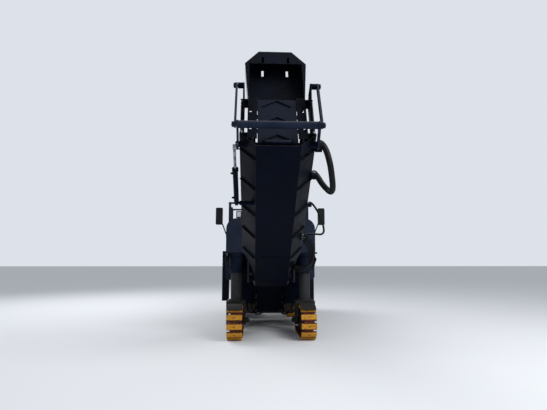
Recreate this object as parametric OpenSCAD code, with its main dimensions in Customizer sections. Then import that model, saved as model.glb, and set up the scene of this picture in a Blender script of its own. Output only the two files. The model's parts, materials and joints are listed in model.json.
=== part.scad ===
// Compact cold planer on four crawler tracks, with a front discharge conveyor folded up.
// Millimetres, Z up, ground at z = 0. The machine's front faces -Y, X runs across it.

/* [Tracks] */
// Length over one crawler track
track_len = 1330; // [1200:10:1400]
// Height over one crawler track
track_h = 550; // [500:5:560]
// Width of a track pad
pad_w = 260; // [220:5:280]
// Height of a pad above the chain
pad_h = 40; // [30:1:45]
// Length of a pad along the chain
pad_l = 98; // [90:1:112]
// Number of pads on a track
pad_n = 22; // [20:1:24]
// Thickness of the chain band under the pads
band_t = 30; // [20:1:35]
// Width of the chain band
band_w = 180; // [150:5:200]
// Distance between the left and right track centres
gauge = 1250; // [1220:5:1270]
// Place of the front legs along the machine
front_leg_y = -835; // [-860:5:-825]
// Place of the rear legs along the machine
rear_leg_y = 2165; // [2150:5:2200]

/* [Legs] */
// Radius of the sliding leg tube
leg_r = 100; // [80:1:105]
// Outer radius of the guide tube round the leg
guide_r = 130; // [125:1:132]
// Height of the guide tube's lower end
guide_z = 1120; // [1080:5:1150]
// Height of the guide tube's upper end
guide_top = 1930; // [1900:5:1950]
// Height of the fork head's top face
head_z = 620; // [610:1:640]
// Thickness of the fork head
head_t = 35; // [25:1:40]
// Thickness of a fork cheek
cheek_t = 30; // [20:1:35]
// Length of the sliding leg tube
leg_len = 895; // [880:5:940]
// Gap between a track pad and a fork cheek
cheek_gap = 8; // [6:1:10]

/* [Frame] */
// Width of the deck plate
deck_w = 1700; // [1660:10:1740]
// Height of the deck plate's underside
deck_z = 1465; // [1460:1:1480]
// Thickness of the deck plate
deck_t = 25; // [20:1:30]
// Front edge of the deck
deck_front = -980; // [-1000:5:-960]
// Rear edge of the deck
deck_rear = 3300; // [3260:5:3340]
// Depth of the frame beams under the deck
beam_h = 140; // [120:5:140]
// Inner face of a frame beam
beam_x = 420; // [400:5:430]
// Thickness of a frame beam
beam_t = 70; // [50:5:70]
// Radius of a lifting eye's hole
eye_hole_r = 30; // [20:1:35]
// Thickness of a lifting eye
lug_t = 30; // [20:1:40]
// Rear face of the counterweight
tail_y = 3600; // [3560:5:3650]
// Height of the counterweight's underside
tail_z = 780; // [700:10:900]

/* [Front body] */
// Half width of the front tank
tank_x = 815; // [800:5:830]
// Height of the front tank's top
tank_top = 2110; // [2060:5:2160]
// Rear face of the front tank
tank_rear = 150; // [140:5:160]
// Radius of the front tank's upper side corners
tank_r = 190; // [150:5:220]

/* [Drum] */
// Radius over the cutting tools
drum_r = 490; // [470:5:500]
// Radius of the drum's shell
drum_shell_r = 395; // [370:5:405]
// Half width of the drum
drum_x = 600; // [580:5:605]
// Place of the drum's axis along the machine
drum_y = 665; // [655:5:675]
// Height of the drum's axis
drum_z = 740; // [735:1:745]
// Radius of the drum's shaft
shaft_r = 80; // [70:1:90]
// Number of tool holders along one half of the drum
tool_n = 30; // [24:1:36]
// Inner radius of the drum housing
housing_r = 560; // [550:5:562]
// Thickness of the housing's shell
housing_t = 20; // [15:1:22]
// Thickness of the housing's end plates
end_t = 25; // [20:1:30]

/* [Primary conveyor] */
// Half width of the primary conveyor
prim_x = 290; // [270:5:295]
// Height of the primary conveyor's head pulley
prim_head_z = 1270; // [1250:5:1280]
// Place of the head pulley along the machine
prim_head_y = -790; // [-795:5:-760]
// Height of the tail pulley
prim_tail_z = 400; // [390:5:430]
// Place of the tail pulley
prim_tail_y = 0; // [-20:5:5]

/* [Discharge conveyor] */
// Incline of the conveyor as parked, in degrees
incline = 36.87; // [34:0.01:38]
// Angle by which the outer part is folded up as parked
fold_rest = 78; // [70:1:80]
// Place of the lift pivot along the machine
lift_y = -1090; // [-1110:5:-1085]
// Height of the lift pivot
lift_z = 1030; // [1025:1:1040]
// Place of the slewing pin along the machine
slew_y = -880; // [-890:1:-870]
// Length of the inner part from its pivot
inner_len = 3000; // [2985:5:3010]
// Half width over the inner part's upper edges
inner_x = 500; // [495:1:501]
// Half width of the inner part's bottom plate
inner_bot = 285; // [280:1:300]
// Half width of the inner part at its tail
inner_tail_x = 380; // [370:1:382]
// Upper edge above the pivot's line
inner_up = 140; // [130:1:142]
// Bottom plate below the pivot's line
inner_down = 120; // [115:1:125]
// Wall thickness of the inner part
hull_t = 12; // [8:1:14]
// Half width of the belt
belt_x = 265; // [250:1:268]
// Thickness of the belt
belt_t = 12; // [8:1:14]
// Height of a belt cleat
cleat_h = 25; // [15:1:28]
// Distance between belt cleats
cleat_pitch = 313; // [250:1:330]
// Half width of the outer part's frame
outer_x = 400; // [395:1:402]
// Depth of the outer part's frame
outer_h = 130; // [125:1:135]
// Length of the outer part's frame from the fold pin
outer_len = 870; // [860:5:875]
// Half width of the hood at its widest
hood_x = 455; // [440:5:460]
// Length from the fold pin to the hood's widest place
hood_wide = 1600; // [1550:5:1650]
// Length from the fold pin to the hood's end
hood_end = 1875; // [1850:5:1900]
// Half width of the hood's end
hood_nose = 250; // [200:5:280]
// Depth of the hood
hood_h = 260; // [240:5:280]

/* [Fold linkage] */
// Fold pin along the inner part
fold_u = 2904; // [2900:1:2908]
// Fold pin above the pivot's line
fold_w = 22; // [18:1:26]
// Rocker pivot along the inner part
rock_u = 2896; // [2892:1:2900]
// Rocker pivot above the pivot's line
rock_w = 48; // [46:1:50]
// Cross tube along the inner part, as parked
tube_u = 3154; // [3150:1:3158]
// Cross tube above the pivot's line, as parked
tube_w = 113; // [110:1:116]
// Radius of the cross tube
tube_r = 48; // [40:1:50]
// Link pin along the outer part
link_s = 875; // [872:1:878]
// Link pin below the outer part
link_t = 204; // [200:1:206]
// Radius of the link pins
pin_r = 20; // [16:1:22]
// Thickness of the link bars and rocker arms
bar_t = 25; // [20:1:26]

/* [Hoses] */
// Radius of the sleeve round the hose bundle
sleeve_r = 42; // [35:1:45]
// Radius of a single hose
hose_r = 16; // [12:1:20]
// Radius of the hoses beside the outer part
pipe_r = 17; // [12:1:18]

/* [Operator's place] */
// Front edge of the platform
plat_front = 160; // [155:5:170]
// Rear edge of the platform
plat_rear = 1330; // [1300:5:1340]
// Height of the platform's floor
plat_z = 1550; // [1540:5:1570]
// Height of the upper handrail
rail_z = 2560; // [2500:10:2600]
// Radius of a handrail
rail_r = 20; // [15:1:22]

/* [Engine bay] */
// Front face of the engine bay
bay_front = 1380; // [1370:5:1400]
// Length of the engine
engine_len = 1400; // [1300:10:1500]
// Width of the engine
engine_w = 800; // [700:10:860]
// Height of the engine
engine_h = 510; // [450:10:530]
// Width of the cooler
cooler_w = 1120; // [1000:10:1200]
// Height of the bay's side walls
bay_top = 2050; // [2020:5:2080]
// Thickness of the bay's panels
skin_t = 20; // [10:1:24]
// Height of the hood's flat top over the bay
hood_rise = 160; // [130:5:190]
// Front edge of a side door's opening
door_y0 = 1600; // [1560:5:1640]
// Rear edge of a side door's opening
door_y1 = 2860; // [2820:5:2900]

/* [Mirrors] */
// Distance of a mirror's centre from the middle of the machine
mirror_x = 960; // [950:1:960]
// Height of a mirror's centre
mirror_z = 2165; // [2140:5:2200]
// Width of a mirror
mirror_w = 130; // [110:5:130]
// Height of a mirror
mirror_h = 320; // [280:5:340]

/* [Hidden] */
// Running gap between a turning or sliding piece and what guides it
gap = 0.3;
// Facets of a round piece
$fn = 48;
navy = "#1b2230";
panel = "#3a4150";
steel = "#8d929a";
dark = "#16181b";
pad_col = "#c8881e";
// Track loop
track_r = track_h / 2;
band_r = track_r - pad_h;
inner_r = band_r - band_t;
run = track_len - track_h;
half_turn = PI * band_r;
pad_pitch = (2 * run + 2 * half_turn) / pad_n;
leg_x = gauge / 2;
deck_top = deck_z + deck_t;
deck_x = deck_w / 2;
plat_x = deck_x + 10;
fork_x = pad_w / 2 + cheek_gap;
// Inner belt: radius inside the belt, place of its head pulley
roll_r = 80;
head_u = 2700;
// Rocker arms and link bars lie side by side outside the hull
arm_x = inner_x + 5;
bar_x0 = arm_x + bar_t + 5;
knob_x = bar_x0 + bar_t + 2;
// Fold cylinder: pin on the hull, pin on the rocker's horn, in the inner part's frame
ram_u = 1950;
ram_w = -70;
horn_u = rock_u + 45;
horn_w = rock_w - 120;
ram_x = arm_x + bar_t + 25;
ram_len = norm([horn_u - ram_u, horn_w - ram_w]);
ram_turn = atan2(horn_w - ram_w, horn_u - ram_u);
// Lift cylinders: pin on the yoke, pin over the hull's edge
pull_y = lift_y + 40;
pull_z = lift_z + 300;
pull_x = inner_tail_x - 24;
eye_u = 1200;
eye_w = 190;
eye_y = lift_y - eye_u * cos(incline) + eye_w * sin(incline);
eye_z = lift_z + eye_u * sin(incline) + eye_w * cos(incline);
pull_len = norm([eye_y - pull_y, eye_z - pull_z]);
pull_turn = atan2(eye_z - pull_z, pull_y - eye_y);
// Hose routes in the inner part's frame, from clamp to clamp: x, -u, w
sleeve_route = [[540, -2790, 145], [550, -2800, 215], [600, -2780, 235], [660, -2720, 160],
    [705, -2620, 20], [740, -2470, -80], [765, -2320, -130], [760, -2220, -110],
    [725, -2180, -30], [665, -2190, 70], [612, -2222, 168], [566, -2262, 214],
    [540, -2290, 200], [530, -2300, 145]];
hose_route = [[520, -1720, 145], [530, -1710, 190], [590, -1660, 205], [680, -1560, 120],
    [750, -1430, 20], [780, -1300, -30], [760, -1170, 20], [690, -1060, 120],
    [590, -960, 205], [540, -910, 190], [530, -900, 145]];
// Outer belt: pulley places along the part, height of their centres, radius
out_tail_s = 60;
out_head_s = 810;
out_t = 65;
out_r = 60;
// Engine hood hinge and door hinge
hood_axis_y = deck_rear + 16;
hood_axis_z = bay_top + 2;
hood_top = bay_top + hood_rise;
door_axis_x = deck_w / 2 + 30;
door_axis_y = door_y0 - 28;

// Box from two corners
module box(x0, x1, y0, y1, z0, z1)
    translate([x0, y0, z0]) cube([x1 - x0, y1 - y0, z1 - z0]);

// The child and its mirror image across the machine
module both() {
    children();
    mirror([1, 0, 0]) children();
}

// Round bar across the machine
module bar_x(x0, x1, r, y = 0, z = 0)
    translate([x0, y, z]) rotate([0, 90, 0]) cylinder(r = r, h = x1 - x0);

// A profile drawn as (y, z), from x0 to x1
module side(x0, x1)
    translate([x0, 0, 0]) rotate([90, 0, 90]) linear_extrude(x1 - x0) children();

// A profile drawn as (x, z), from y0 to y1
module front(y0, y1)
    translate([0, y1, 0]) rotate([90, 0, 0]) linear_extrude(y1 - y0) children();

// Round bar between two points
module rod(a, b, r) {
    d = b - a;
    len = norm(d);
    turn = [0, acos(d[2] / len), atan2(d[1], d[0])];
    translate(a) rotate(turn) cylinder(r = r, h = len);
}

// Handrail through a list of points, with round corners
module rail(points, r = rail_r) {
    for (i = [0 : len(points) - 2]) rod(points[i], points[i + 1], r);
    if (len(points) > 2)
        for (i = [1 : len(points) - 2]) translate(points[i]) sphere(r = r);
}

// Two circles and the strip between them, flat; slim makes the strip that much narrower a side
module strap(a, b, r0, r1, slim = 0) {
    d = b - a;
    translate(a) circle(r0);
    translate(b) circle(r1);
    w = min(r0, r1) - slim;
    translate(a) rotate(atan2(d[1], d[0])) translate([0, -w]) square([norm(d), 2 * w]);
}

// Places of the four legs
module at_leg(side_sign, leg_y) translate([side_sign * leg_x, leg_y, 0]) children();

// Frame of the inner conveyor: x across, -y outward, z up from the belt
module inner_at() translate([0, lift_y, lift_z]) rotate([-incline, 0, 0]) children();

// Frame of the outer conveyor: x across, -y outward from the fold pin
module outer_at()
    inner_at() translate([0, -fold_u, fold_w]) rotate([-fold_rest, 0, 0]) children();

// Crawler track: stadium outlines, chain band and pads
module stadium(r) {
    translate([-run / 2, track_r]) circle(r);
    translate([run / 2, track_r]) circle(r);
    translate([-run / 2, track_r - r]) square([run, 2 * r]);
}

module on_loop(s) {
    turn = 180 / PI / band_r;
    if (s < run) translate([s - run / 2, track_r]) children();
    else if (s < run + half_turn)
        translate([run / 2, track_r]) rotate((s - run) * turn) children();
    else if (s < 2 * run + half_turn)
        translate([run * 3 / 2 + half_turn - s, track_r]) rotate(180) children();
    else
        translate([-run / 2, track_r]) rotate(180 + (s - 2 * run - half_turn) * turn) children();
}

module track() color(pad_col) {
    seat = 8;
    difference() {
        union() {
            side(-band_w / 2, band_w / 2) stadium(band_r);
            side(-pad_w / 2, pad_w / 2) intersection() {
                stadium(track_r);
                for (i = [0 : pad_n - 1]) on_loop((i + 0.5) * pad_pitch)
                    translate([-pad_l / 2, -track_r]) square([pad_l, pad_h + seat]);
            }
        }
        side(-pad_w / 2 - 1, pad_w / 2 + 1) stadium(inner_r);
    }
}

// Bogie: track frame with its wheels and rollers, pivot, fork, guard
module bogie() color(dark) {
    wheel_r = inner_r - gap;
    roller_r = 58;
    roller_z = pad_h + band_t + roller_r + gap;
    plate_x0 = 72;
    plate_x1 = 90;
    axle_z = track_r;
    for (s = [-1, 1]) bar_x(-70, 70, wheel_r, s * run / 2, axle_z);
    for (y = [-255, -85, 85, 255]) bar_x(-60, 60, roller_r, y, roller_z);
    for (y = [-130, 130]) bar_x(-60, 60, 45, y, track_h - pad_h - band_t - 45 - gap);
    both() side(plate_x0, plate_x1) {
        translate([-run / 2, 130]) square([run, 220]);
        for (s = [-1, 1]) translate([s * run / 2, axle_z]) circle(85);
        translate([-170, 130]) square([340, 330]);
    }
    for (s = [-1, 1]) bar_x(-plate_x0, plate_x0, 60, s * run / 2, axle_z);
    for (y = [-255, -85, 85, 255]) bar_x(-plate_x0, plate_x0, 22, y, roller_z);
    for (y = [-130, 130]) bar_x(-plate_x0, plate_x0, 18, y, track_h - pad_h - band_t - 45 - gap);
    bar_x(-fork_x - cheek_t, fork_x + cheek_t, 48, 0, axle_z);
    both() side(fork_x, fork_x + cheek_t) {
        translate([0, axle_z]) circle(85);
        polygon([[-85, axle_z], [85, axle_z], [170, head_z - head_t], [170, head_z],
            [-170, head_z], [-170, head_z - head_t]]);
    }
    box(-fork_x, fork_x, -170, 170, head_z - head_t, head_z);
    guard_r = track_r + 36;
    side(-pad_w / 2, pad_w / 2) difference() {
        union() {
            translate([-run / 2, track_r + guard_r - 10]) square([run, 10]);
            for (s = [-1, 1]) intersection() {
                translate([s * run / 2, track_r]) difference() {
                    circle(guard_r);
                    circle(guard_r - 10);
                }
                translate([s > 0 ? run / 2 : -run / 2 - 190, track_r + 200]) square([190, 200]);
            }
        }
    }
}

// Leg: sliding tube with its foot flange
module leg() color(steel) {
    translate([0, 0, head_z]) cylinder(r = 140, h = 25);
    translate([0, 0, head_z + 25]) cylinder(r = leg_r, h = leg_len);
}

// Leg guides with a collar under the deck, flat where it meets the beam
module leg_guides() color(navy)
    for (s = [-1, 1]) for (y = [front_leg_y, rear_leg_y]) at_leg(s, y) difference() {
        collar_x = leg_x - beam_x - beam_t - gap;
        union() {
            translate([0, 0, guide_z]) cylinder(r = guide_r, h = guide_top - guide_z);
            intersection() {
                translate([0, 0, deck_z - 45]) cylinder(r = guide_r + 20, h = 45);
                box(-collar_x, collar_x, -200, 200, deck_z - 46, deck_z + 1);
            }
        }
        translate([0, 0, guide_z - 1]) cylinder(r = leg_r + gap, h = guide_top - guide_z - 19);
    }

// Frame under the deck: two long beams, cross beams between them, outriggers beside them
module main_frame() color(navy) {
    beam_x1 = beam_x + beam_t;
    beam_z = deck_z - beam_h;
    both() box(beam_x, beam_x1, -600, deck_rear, beam_z, deck_z);
    both() box(beam_x, beam_x1, -660, -600 - gap, deck_z - 90, deck_z);
    for (y = [1330, 2000, 2700, deck_rear - 40])
        box(-beam_x + gap, beam_x - gap, y, y + 40, beam_z, deck_z);
    for (y = [rear_leg_y - 195, rear_leg_y + 155])
        both() box(beam_x1 + gap, deck_x - 30, y, y + 40, beam_z, deck_z);
    both() box(beam_x1 + gap, deck_x - 30, -660, -625, deck_z - 90, deck_z);
}

// Lifting eyes: two under the deck's front edge, two on the rear weight
module lifting_eyes() color(navy) both() {
    translate([0, deck_front + 70, deck_z]) mirror([0, 0, 1]) lug(deck_x - 50);
    translate([0, tail_y - 120, deck_top]) lug(700);
}

module deck_plate() color(navy) difference() {
    box(-deck_x, deck_x, deck_front, deck_rear, deck_z, deck_top);
    for (s = [-1, 1]) for (y = [front_leg_y, rear_leg_y]) at_leg(s, y)
        translate([0, 0, deck_z - 1]) cylinder(r = guide_r + gap, h = deck_t + 2);
    translate([0, slew_y, deck_z - 1]) cylinder(r = 60 + gap, h = deck_t + 2);
}

module front_tank() color(panel) difference() {
    front(deck_front, tank_rear) {
        translate([-tank_x, deck_top]) square([2 * tank_x, tank_top - deck_top - tank_r]);
        translate([-tank_x + tank_r, deck_top])
            square([2 * (tank_x - tank_r), tank_top - deck_top]);
        for (s = [-1, 1]) translate([s * (tank_x - tank_r), tank_top - tank_r]) circle(tank_r);
    }
    for (s = [-1, 1]) at_leg(s, front_leg_y)
        translate([0, 0, deck_top - 1]) cylinder(r = guide_r + 1, h = guide_top - deck_top + 6);
    // Grille openings in the front face, in two fields
    for (x = [-470, 30]) for (i = [0 : 7])
        box(x, x + 440, deck_front - 1, deck_front + 40, 1570 + i * 50, 1590 + i * 50);
}

module side_tanks() color(panel) both() {
    depth = 485;
    front(-600, rear_leg_y - 220) polygon([[deck_x - 160, deck_z - depth + 85],
        [deck_x - 160, deck_z], [deck_x, deck_z], [deck_x, deck_z - depth + 60],
        [deck_x - 35, deck_z - depth], [deck_x - 115, deck_z - depth]]);
}

module counterweight() color(navy) {
    side(-800, 800) polygon([[deck_rear, tail_z], [deck_rear, deck_top],
        [tail_y - 40, deck_top], [tail_y, deck_top - 60], [tail_y, tail_z + 160],
        [tail_y - 120, tail_z]]);
}

// Lifting eye across the machine, standing on z = 0
module lug(x) side(x - lug_t / 2, x + lug_t / 2) difference() {
    union() {
        translate([0, 70]) circle(60);
        translate([-60, 0]) square([120, 70]);
    }
    translate([0, 70]) circle(eye_hole_r);
}

// Drum housing: half-round shell, end plates, scraper rails
module drum_housing() color(navy) difference() {
    end_x = drum_x + 15;
    out_r = housing_r + housing_t;
    union() {
        side(-end_x, end_x) translate([drum_y, drum_z]) difference() {
            union() {
                circle(out_r);
                translate([-out_r, -260]) square([2 * out_r, 260]);
            }
            circle(housing_r);
            translate([-housing_r, -700]) square([2 * housing_r, 700]);
            translate([-700, -700]) square([1400, 440]);
        }
        both() side(end_x, end_x + end_t) translate([drum_y, drum_z]) {
            circle(out_r);
            translate([-out_r, -240]) square([2 * out_r, 240]);
        }
        both() box(beam_x, beam_x + beam_t, drum_y - 160, drum_y + 160,
            drum_z + out_r - 30, deck_z - beam_h);
        both() box(end_x, end_x + end_t, drum_y + out_r - 40, drum_y + out_r + 30,
            drum_z - 240, drum_z + 560);
    }
    box(-prim_x, prim_x, drum_y - out_r - 1, drum_y - housing_r + 1, drum_z - 301, drum_z - 60);
    both() bar_x(end_x - 1, end_x + end_t + 1, shaft_r + gap, drum_y, drum_z);
    translate([0, drum_y, drum_z]) rotate([0, 90, 0])
        cylinder(r = housing_r, h = 2 * end_x, center = true);
}

// One tool holder with its pick, standing on the drum's shell
module tool() {
    lean = 28;
    len = (drum_r - drum_shell_r - 28) / cos(lean);
    translate([-22, -38, -14]) cube([44, 66, 44]);
    translate([0, -10, 24]) rotate([lean, 0, 0]) {
        cylinder(r = 19, h = len - 36);
        translate([0, 0, len - 36]) cylinder(r1 = 17, r2 = 4, h = 36);
    }
}

module milling_drum() color(steel) translate([0, drum_y, drum_z]) {
    bar_x(-drum_x, drum_x, drum_shell_r);
    both() bar_x(drum_x, drum_x + 38, shaft_r);
    step = (drum_x - 30) / tool_n;
    for (s = [-1, 1]) for (i = [0 : tool_n - 1])
        rotate([i * 47 + (s > 0 ? 0 : 23), 0, 0])
            translate([s * (15 + (i + 0.5) * step), 0, drum_shell_r]) tool();
}

// Edge protector beside the drum, with its skid
module side_plate() {
    x0 = drum_x + 15 + end_t;
    side(x0, x0 + 30) polygon([[-60, 240], [40, 150], [1290, 150], [1390, 240],
        [1390, 520], [1300, 700], [30, 700], [-60, 520]]);
    box(x0, x0 + 44, 40, 1290, 120, 150);
}

module side_plate_left() color(steel) side_plate();
module side_plate_right() color(steel) mirror([1, 0, 0]) side_plate();

module rear_scraper() color(steel) {
    y0 = drum_y + housing_r + housing_t + gap;
    edge = drum_x + 15 - gap;
    box(-edge, edge, y0, y0 + 28, 150, 760);
    for (x = [-500, -250, 0, 250, 500]) box(x - 10, x + 10, y0 + 28, y0 + 78, 190, 700);
    box(-edge, edge, y0 + 28, y0 + 50, 150, 190);
}

// Primary conveyor from the drum to the discharge conveyor's tail
module primary_conveyor() color(dark) {
    rise = atan2(prim_head_z - prim_tail_z, prim_tail_y - prim_head_y);
    length = norm([prim_head_z - prim_tail_z, prim_tail_y - prim_head_y]);
    both() box(prim_x - 5, prim_x + 45, -70, drum_y - housing_r - housing_t, 500, 600);
    translate([0, prim_tail_y, prim_tail_z]) rotate([-rise, 0, 0]) {
        both() side(prim_x - 15, prim_x) strap([0, 0], [-length, 0], 98, 98);
        side(-240, 240) difference() {
            strap([0, 0], [-length, 0], 82, 82);
            strap([0, 0], [-length, 0], 70, 70);
        }
        for (y = [0, -length]) bar_x(-240, 240, 70 - gap, y, 0);
        for (y = [0, -length]) bar_x(-prim_x + 15, prim_x - 15, 30, y, 0);
        for (i = [1 : 4]) box(-prim_x + 15, prim_x - 15, -i * length / 5 - 20,
            -i * length / 5 + 20, -20, 20);
    }
}

// Slewing yoke under the deck: ring, top plate, two cheeks
module slew_yoke() color(panel) {
    cheek_x = inner_tail_x + 10;
    top_z = deck_z - 25;
    difference() {
        union() {
            translate([0, slew_y, top_z]) cylinder(r = 250, h = 25);
            box(-cheek_x - cheek_t, cheek_x + cheek_t, slew_y - 180, slew_y - 20,
                top_z - 40, top_z);
            both() side(cheek_x, cheek_x + cheek_t) {
                translate([lift_y, lift_z]) circle(80);
                polygon([[lift_y - 80, lift_z], [lift_y + 80, lift_z],
                    [slew_y - 20, top_z - 40], [slew_y - 260, top_z - 40]]);
            }
        }
        both() bar_x(cheek_x - 1, cheek_x + cheek_t + 1, 30 + gap, lift_y, lift_z);
    }
    translate([0, slew_y, top_z + 25]) cylinder(r = 60, h = deck_t);
    both() bar_x(pull_x - 30, cheek_x, pin_r, pull_y, pull_z);
}

// Half width over the inner part's edges, and the wall's inner face at a height
function half_top(u) = inner_tail_x + (inner_x - inner_tail_x) * min(1, max(0, (u - 320) / 240));
function wall_in(u, w) = inner_bot - hull_t + (half_top(u) - inner_bot)
    * (w + inner_down - hull_t) / (inner_up + inner_down - hull_t);

// Inner part of the discharge conveyor: flared hull on a flat bottom plate
module hull_ring(sections) {
    // columns: place along the part, half width over the edges, half width of the bottom
    n = len(sections);
    k = hull_t;
    pts = [for (q = sections) each [
        [-q[1], -q[0], inner_up], [-q[2], -q[0], -inner_down],
        [q[2], -q[0], -inner_down], [q[1], -q[0], inner_up],
        [q[1] - k, -q[0], inner_up], [q[2] - k, -q[0], -inner_down + k],
        [-q[2] + k, -q[0], -inner_down + k], [-q[1] + k, -q[0], inner_up]
    ]];
    walls = [for (i = [0 : n - 2]) for (j = [0 : 7])
        [i * 8 + j, (i + 1) * 8 + j, (i + 1) * 8 + (j + 1) % 8, i * 8 + (j + 1) % 8]];
    cap = [[0, 1, 6, 7], [1, 2, 5, 6], [2, 3, 4, 5]];
    end = (n - 1) * 8;
    caps = concat([for (f = cap) f],
        [for (f = cap) [for (j = [3 : -1 : 0]) end + f[j]]]);
    polyhedron(points = pts, faces = concat(walls, caps));
}

module inner_hull() color(navy) inner_at() {
    hull_ring([[-70, inner_tail_x, inner_bot], [320, inner_tail_x, inner_bot],
        [560, inner_x, inner_bot], [inner_len, inner_x, inner_bot]]);
    // Lift pivot, fold pin, rocker pivot and its head
    both() bar_x(inner_tail_x - 60, inner_tail_x + 5, 55);
    both() bar_x(inner_tail_x + 5, inner_tail_x + 40, 30);
    both() bar_x(312, 405, pin_r, -fold_u, fold_w);
    both() bar_x(inner_x - 95, inner_x + 3, 40, -rock_u, rock_w);
    both() bar_x(inner_x + 3, arm_x + bar_t + 2, 25, -rock_u, rock_w);
    both() bar_x(arm_x + bar_t + 1, arm_x + bar_t + 14, 38, -rock_u, rock_w);
    // Fold cylinder's foot, on the machine's right side
    mirror([1, 0, 0]) bar_x(315, ram_x - 41, 32, -ram_u, ram_w);
    mirror([1, 0, 0]) bar_x(ram_x - 42, ram_x + 30, pin_r, -ram_u, ram_w);
    // Hose clamps on the left edge
    box(inner_x - 2, inner_x + 92, -2840, -2740, 100, 145);
    box(inner_x - 2, inner_x + 74, -2343, -2257, 100, 145);
    for (u = [1720, 900]) box(inner_x - 2, inner_x + 60, -u - 28, -u + 28, 110, 145);
    // Ribs across the side walls, and the frame of the hatch under the tail
    wall_turn = atan2(inner_x - inner_bot, inner_up + inner_down);
    both() for (u = [720, 1240, 1730, 2250, 2770])
        translate([inner_bot, -u, -inner_down]) rotate([0, wall_turn, 0])
            box(-2, 26, -5, 5, 4, 325);
    for (x = [-190, 165]) box(x, x + 25, -740, -40, -inner_down - 12, -inner_down + 2);
    for (u = [40, 740]) box(-190, 190, -u - 12, -u + 12, -inner_down - 12, -inner_down + 2);
    // Lift cylinders' brackets on the edges
    both() box(inner_x - 34, inner_x - 4, -eye_u - 60, -eye_u + 60, inner_up - 4, eye_w + 40);
    both() bar_x(pull_x - 30, inner_x - 30, pin_r, -eye_u, eye_w);
}

// A smooth line through the points of a route, with a few steps between each two
function smooth(r, steps) = [for (i = [0 : len(r) - 2]) for (k = [0 : steps - 1])
    let (t = k / steps, a = r[max(i - 1, 0)], b = r[i], c = r[i + 1],
        d = r[min(i + 2, len(r) - 1)])
    0.5 * (2 * b + (c - a) * t + (2 * a - 5 * b + 4 * c - d) * t * t
        + (3 * b - a - 3 * c + d) * t * t * t), r[len(r) - 1]];

// Round tube swept along a line; each ring lies across the line's direction there
module sweep(line, r, sides = 10, ends = [[0, 0, 1], [0, 0, -1]]) {
    n = len(line);
    pts = [for (i = [0 : n - 1]) let (d = line[min(i + 1, n - 1)] - line[max(i - 1, 0)],
        f = i == 0 ? ends[0] : i == n - 1 ? ends[1] : d / norm(d),
        e = cross(f, [1, 0, 0]), a = e / norm(e), b = cross(f, a))
        for (j = [0 : sides - 1])
            line[i] + r * (a * cos(360 * j / sides) + b * sin(360 * j / sides))];
    rings = [for (i = [0 : n - 2]) for (j = [0 : sides - 1])
        let (p = i * sides + j, q = i * sides + (j + 1) % sides)
        each [[p, q + sides, q], [p, p + sides, q + sides]]];
    polyhedron(points = pts, faces = concat(rings,
        [[for (j = [0 : sides - 1]) j]],
        [[for (j = [sides - 1 : -1 : 0]) (n - 1) * sides + j]]));
}

module conveyor_hoses() color(dark) inner_at() {
    sweep(smooth(sleeve_route, 3), sleeve_r);
    sweep(smooth(hose_route, 3), hose_r);
}

module inner_belt() color(dark) inner_at() {
    side(-belt_x, belt_x) difference() {
        strap([0, 0], [-head_u, 0], roll_r + belt_t, roll_r + belt_t);
        strap([0, 0], [-head_u, 0], roll_r, roll_r);
    }
    for (i = [0 : 7]) translate([0, -60 - i * cleat_pitch, roll_r + belt_t]) cleat(-1);
}

// Chevron cleat: way is 1 with its point towards the discharge end, else -1
module cleat(way) {
    arm = 230;
    both() rotate([0, 0, 30 * way]) translate([-6, -10, -2]) cube([arm, 20, cleat_h + 2]);
}

module inner_rollers() color(steel) inner_at() {
    for (u = [0, head_u]) bar_x(-belt_x, belt_x, roll_r - gap, -u, 0);
    for (u = [0, head_u]) both() bar_x(0, wall_in(u, -20) - gap, 20, -u, 0);
    for (u = [600, 1020, 1440, 1860, 2280]) {
        w = roll_r - 35 - gap;
        bar_x(-belt_x, belt_x, 35, -u, w);
        both() bar_x(0, wall_in(u, w - 12) - gap, 12, -u, w);
    }
}

module outer_frame() color(navy) outer_at() {
    wall = 15;
    boss_x = arm_x + bar_t;
    plate_x = outer_x + 42;
    both() {
        box(outer_x - wall, outer_x, -outer_len, -115, 0, outer_h);
        difference() {
            box(belt_x + 6, outer_x - wall + 1, -outer_len, -115, 0, 8);
            box(outer_x - 55, outer_x - 25, -700, -590, -1, 9);
            box(outer_x - 55, outer_x - 25, -330, -240, -1, 9);
        }
        box(belt_x + 25, outer_x - wall + 1, -150, -115, 0, outer_h);
        difference() {
            side(315, 340) {
                circle(45);
                polygon([[0, -45], [-130, 0], [-150, outer_h - 10], [-115, outer_h - 10], [0, 45]]);
            }
            bar_x(314, 341, pin_r + gap);
        }
        side(plate_x, plate_x + 20) polygon([[-300, outer_h - 20], [-300, 20],
            [-link_s + 38, -link_t - 30], [-link_s - 30, -link_t - 30],
            [-link_s - 24, -20], [-outer_len + 4, -6], [-outer_len + 4, outer_h - 20]]);
        for (s = [400, 780]) box(outer_x - 1, plate_x + 1, -s - 25, -s + 25, 30, 90);
        for (s = [200, 820]) box(outer_x - 1, outer_x + 100, -s, -s + 20, -20, 112);
        bar_x(plate_x + 1, boss_x, 40, -link_s, -link_t);
        bar_x(boss_x, knob_x + 25, pin_r, -link_s, -link_t);
        bar_x(knob_x, knob_x + 25, 36, -link_s, -link_t);
    }
    for (s = [300, 560]) box(-outer_x + wall - 1, outer_x - wall + 1, -s - 20, -s + 20, 45, 85);
    // Light roller at the fold, between two small brackets
    both() box(172, 188, -52, -8, -58, 3);
    bar_x(-172, 172, 24, -30, -32);
    box(-320, 320, -46, -26, -2, 3);
}

// Hoses beside the outer frame, between its two bulkheads
module outer_hoses() color(dark) outer_at() both() for (t = [0, 46, 92]) {
    x = outer_x + 62 + gap + pipe_r;
    sweep(smooth([[x, -200, t], [x, -300, t - 6], [x, -450, t + 5], [x, -600, t - 4],
        [x, -800, t]], 2), pipe_r, 8, [[0, -1, 0], [0, -1, 0]]);
}

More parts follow.
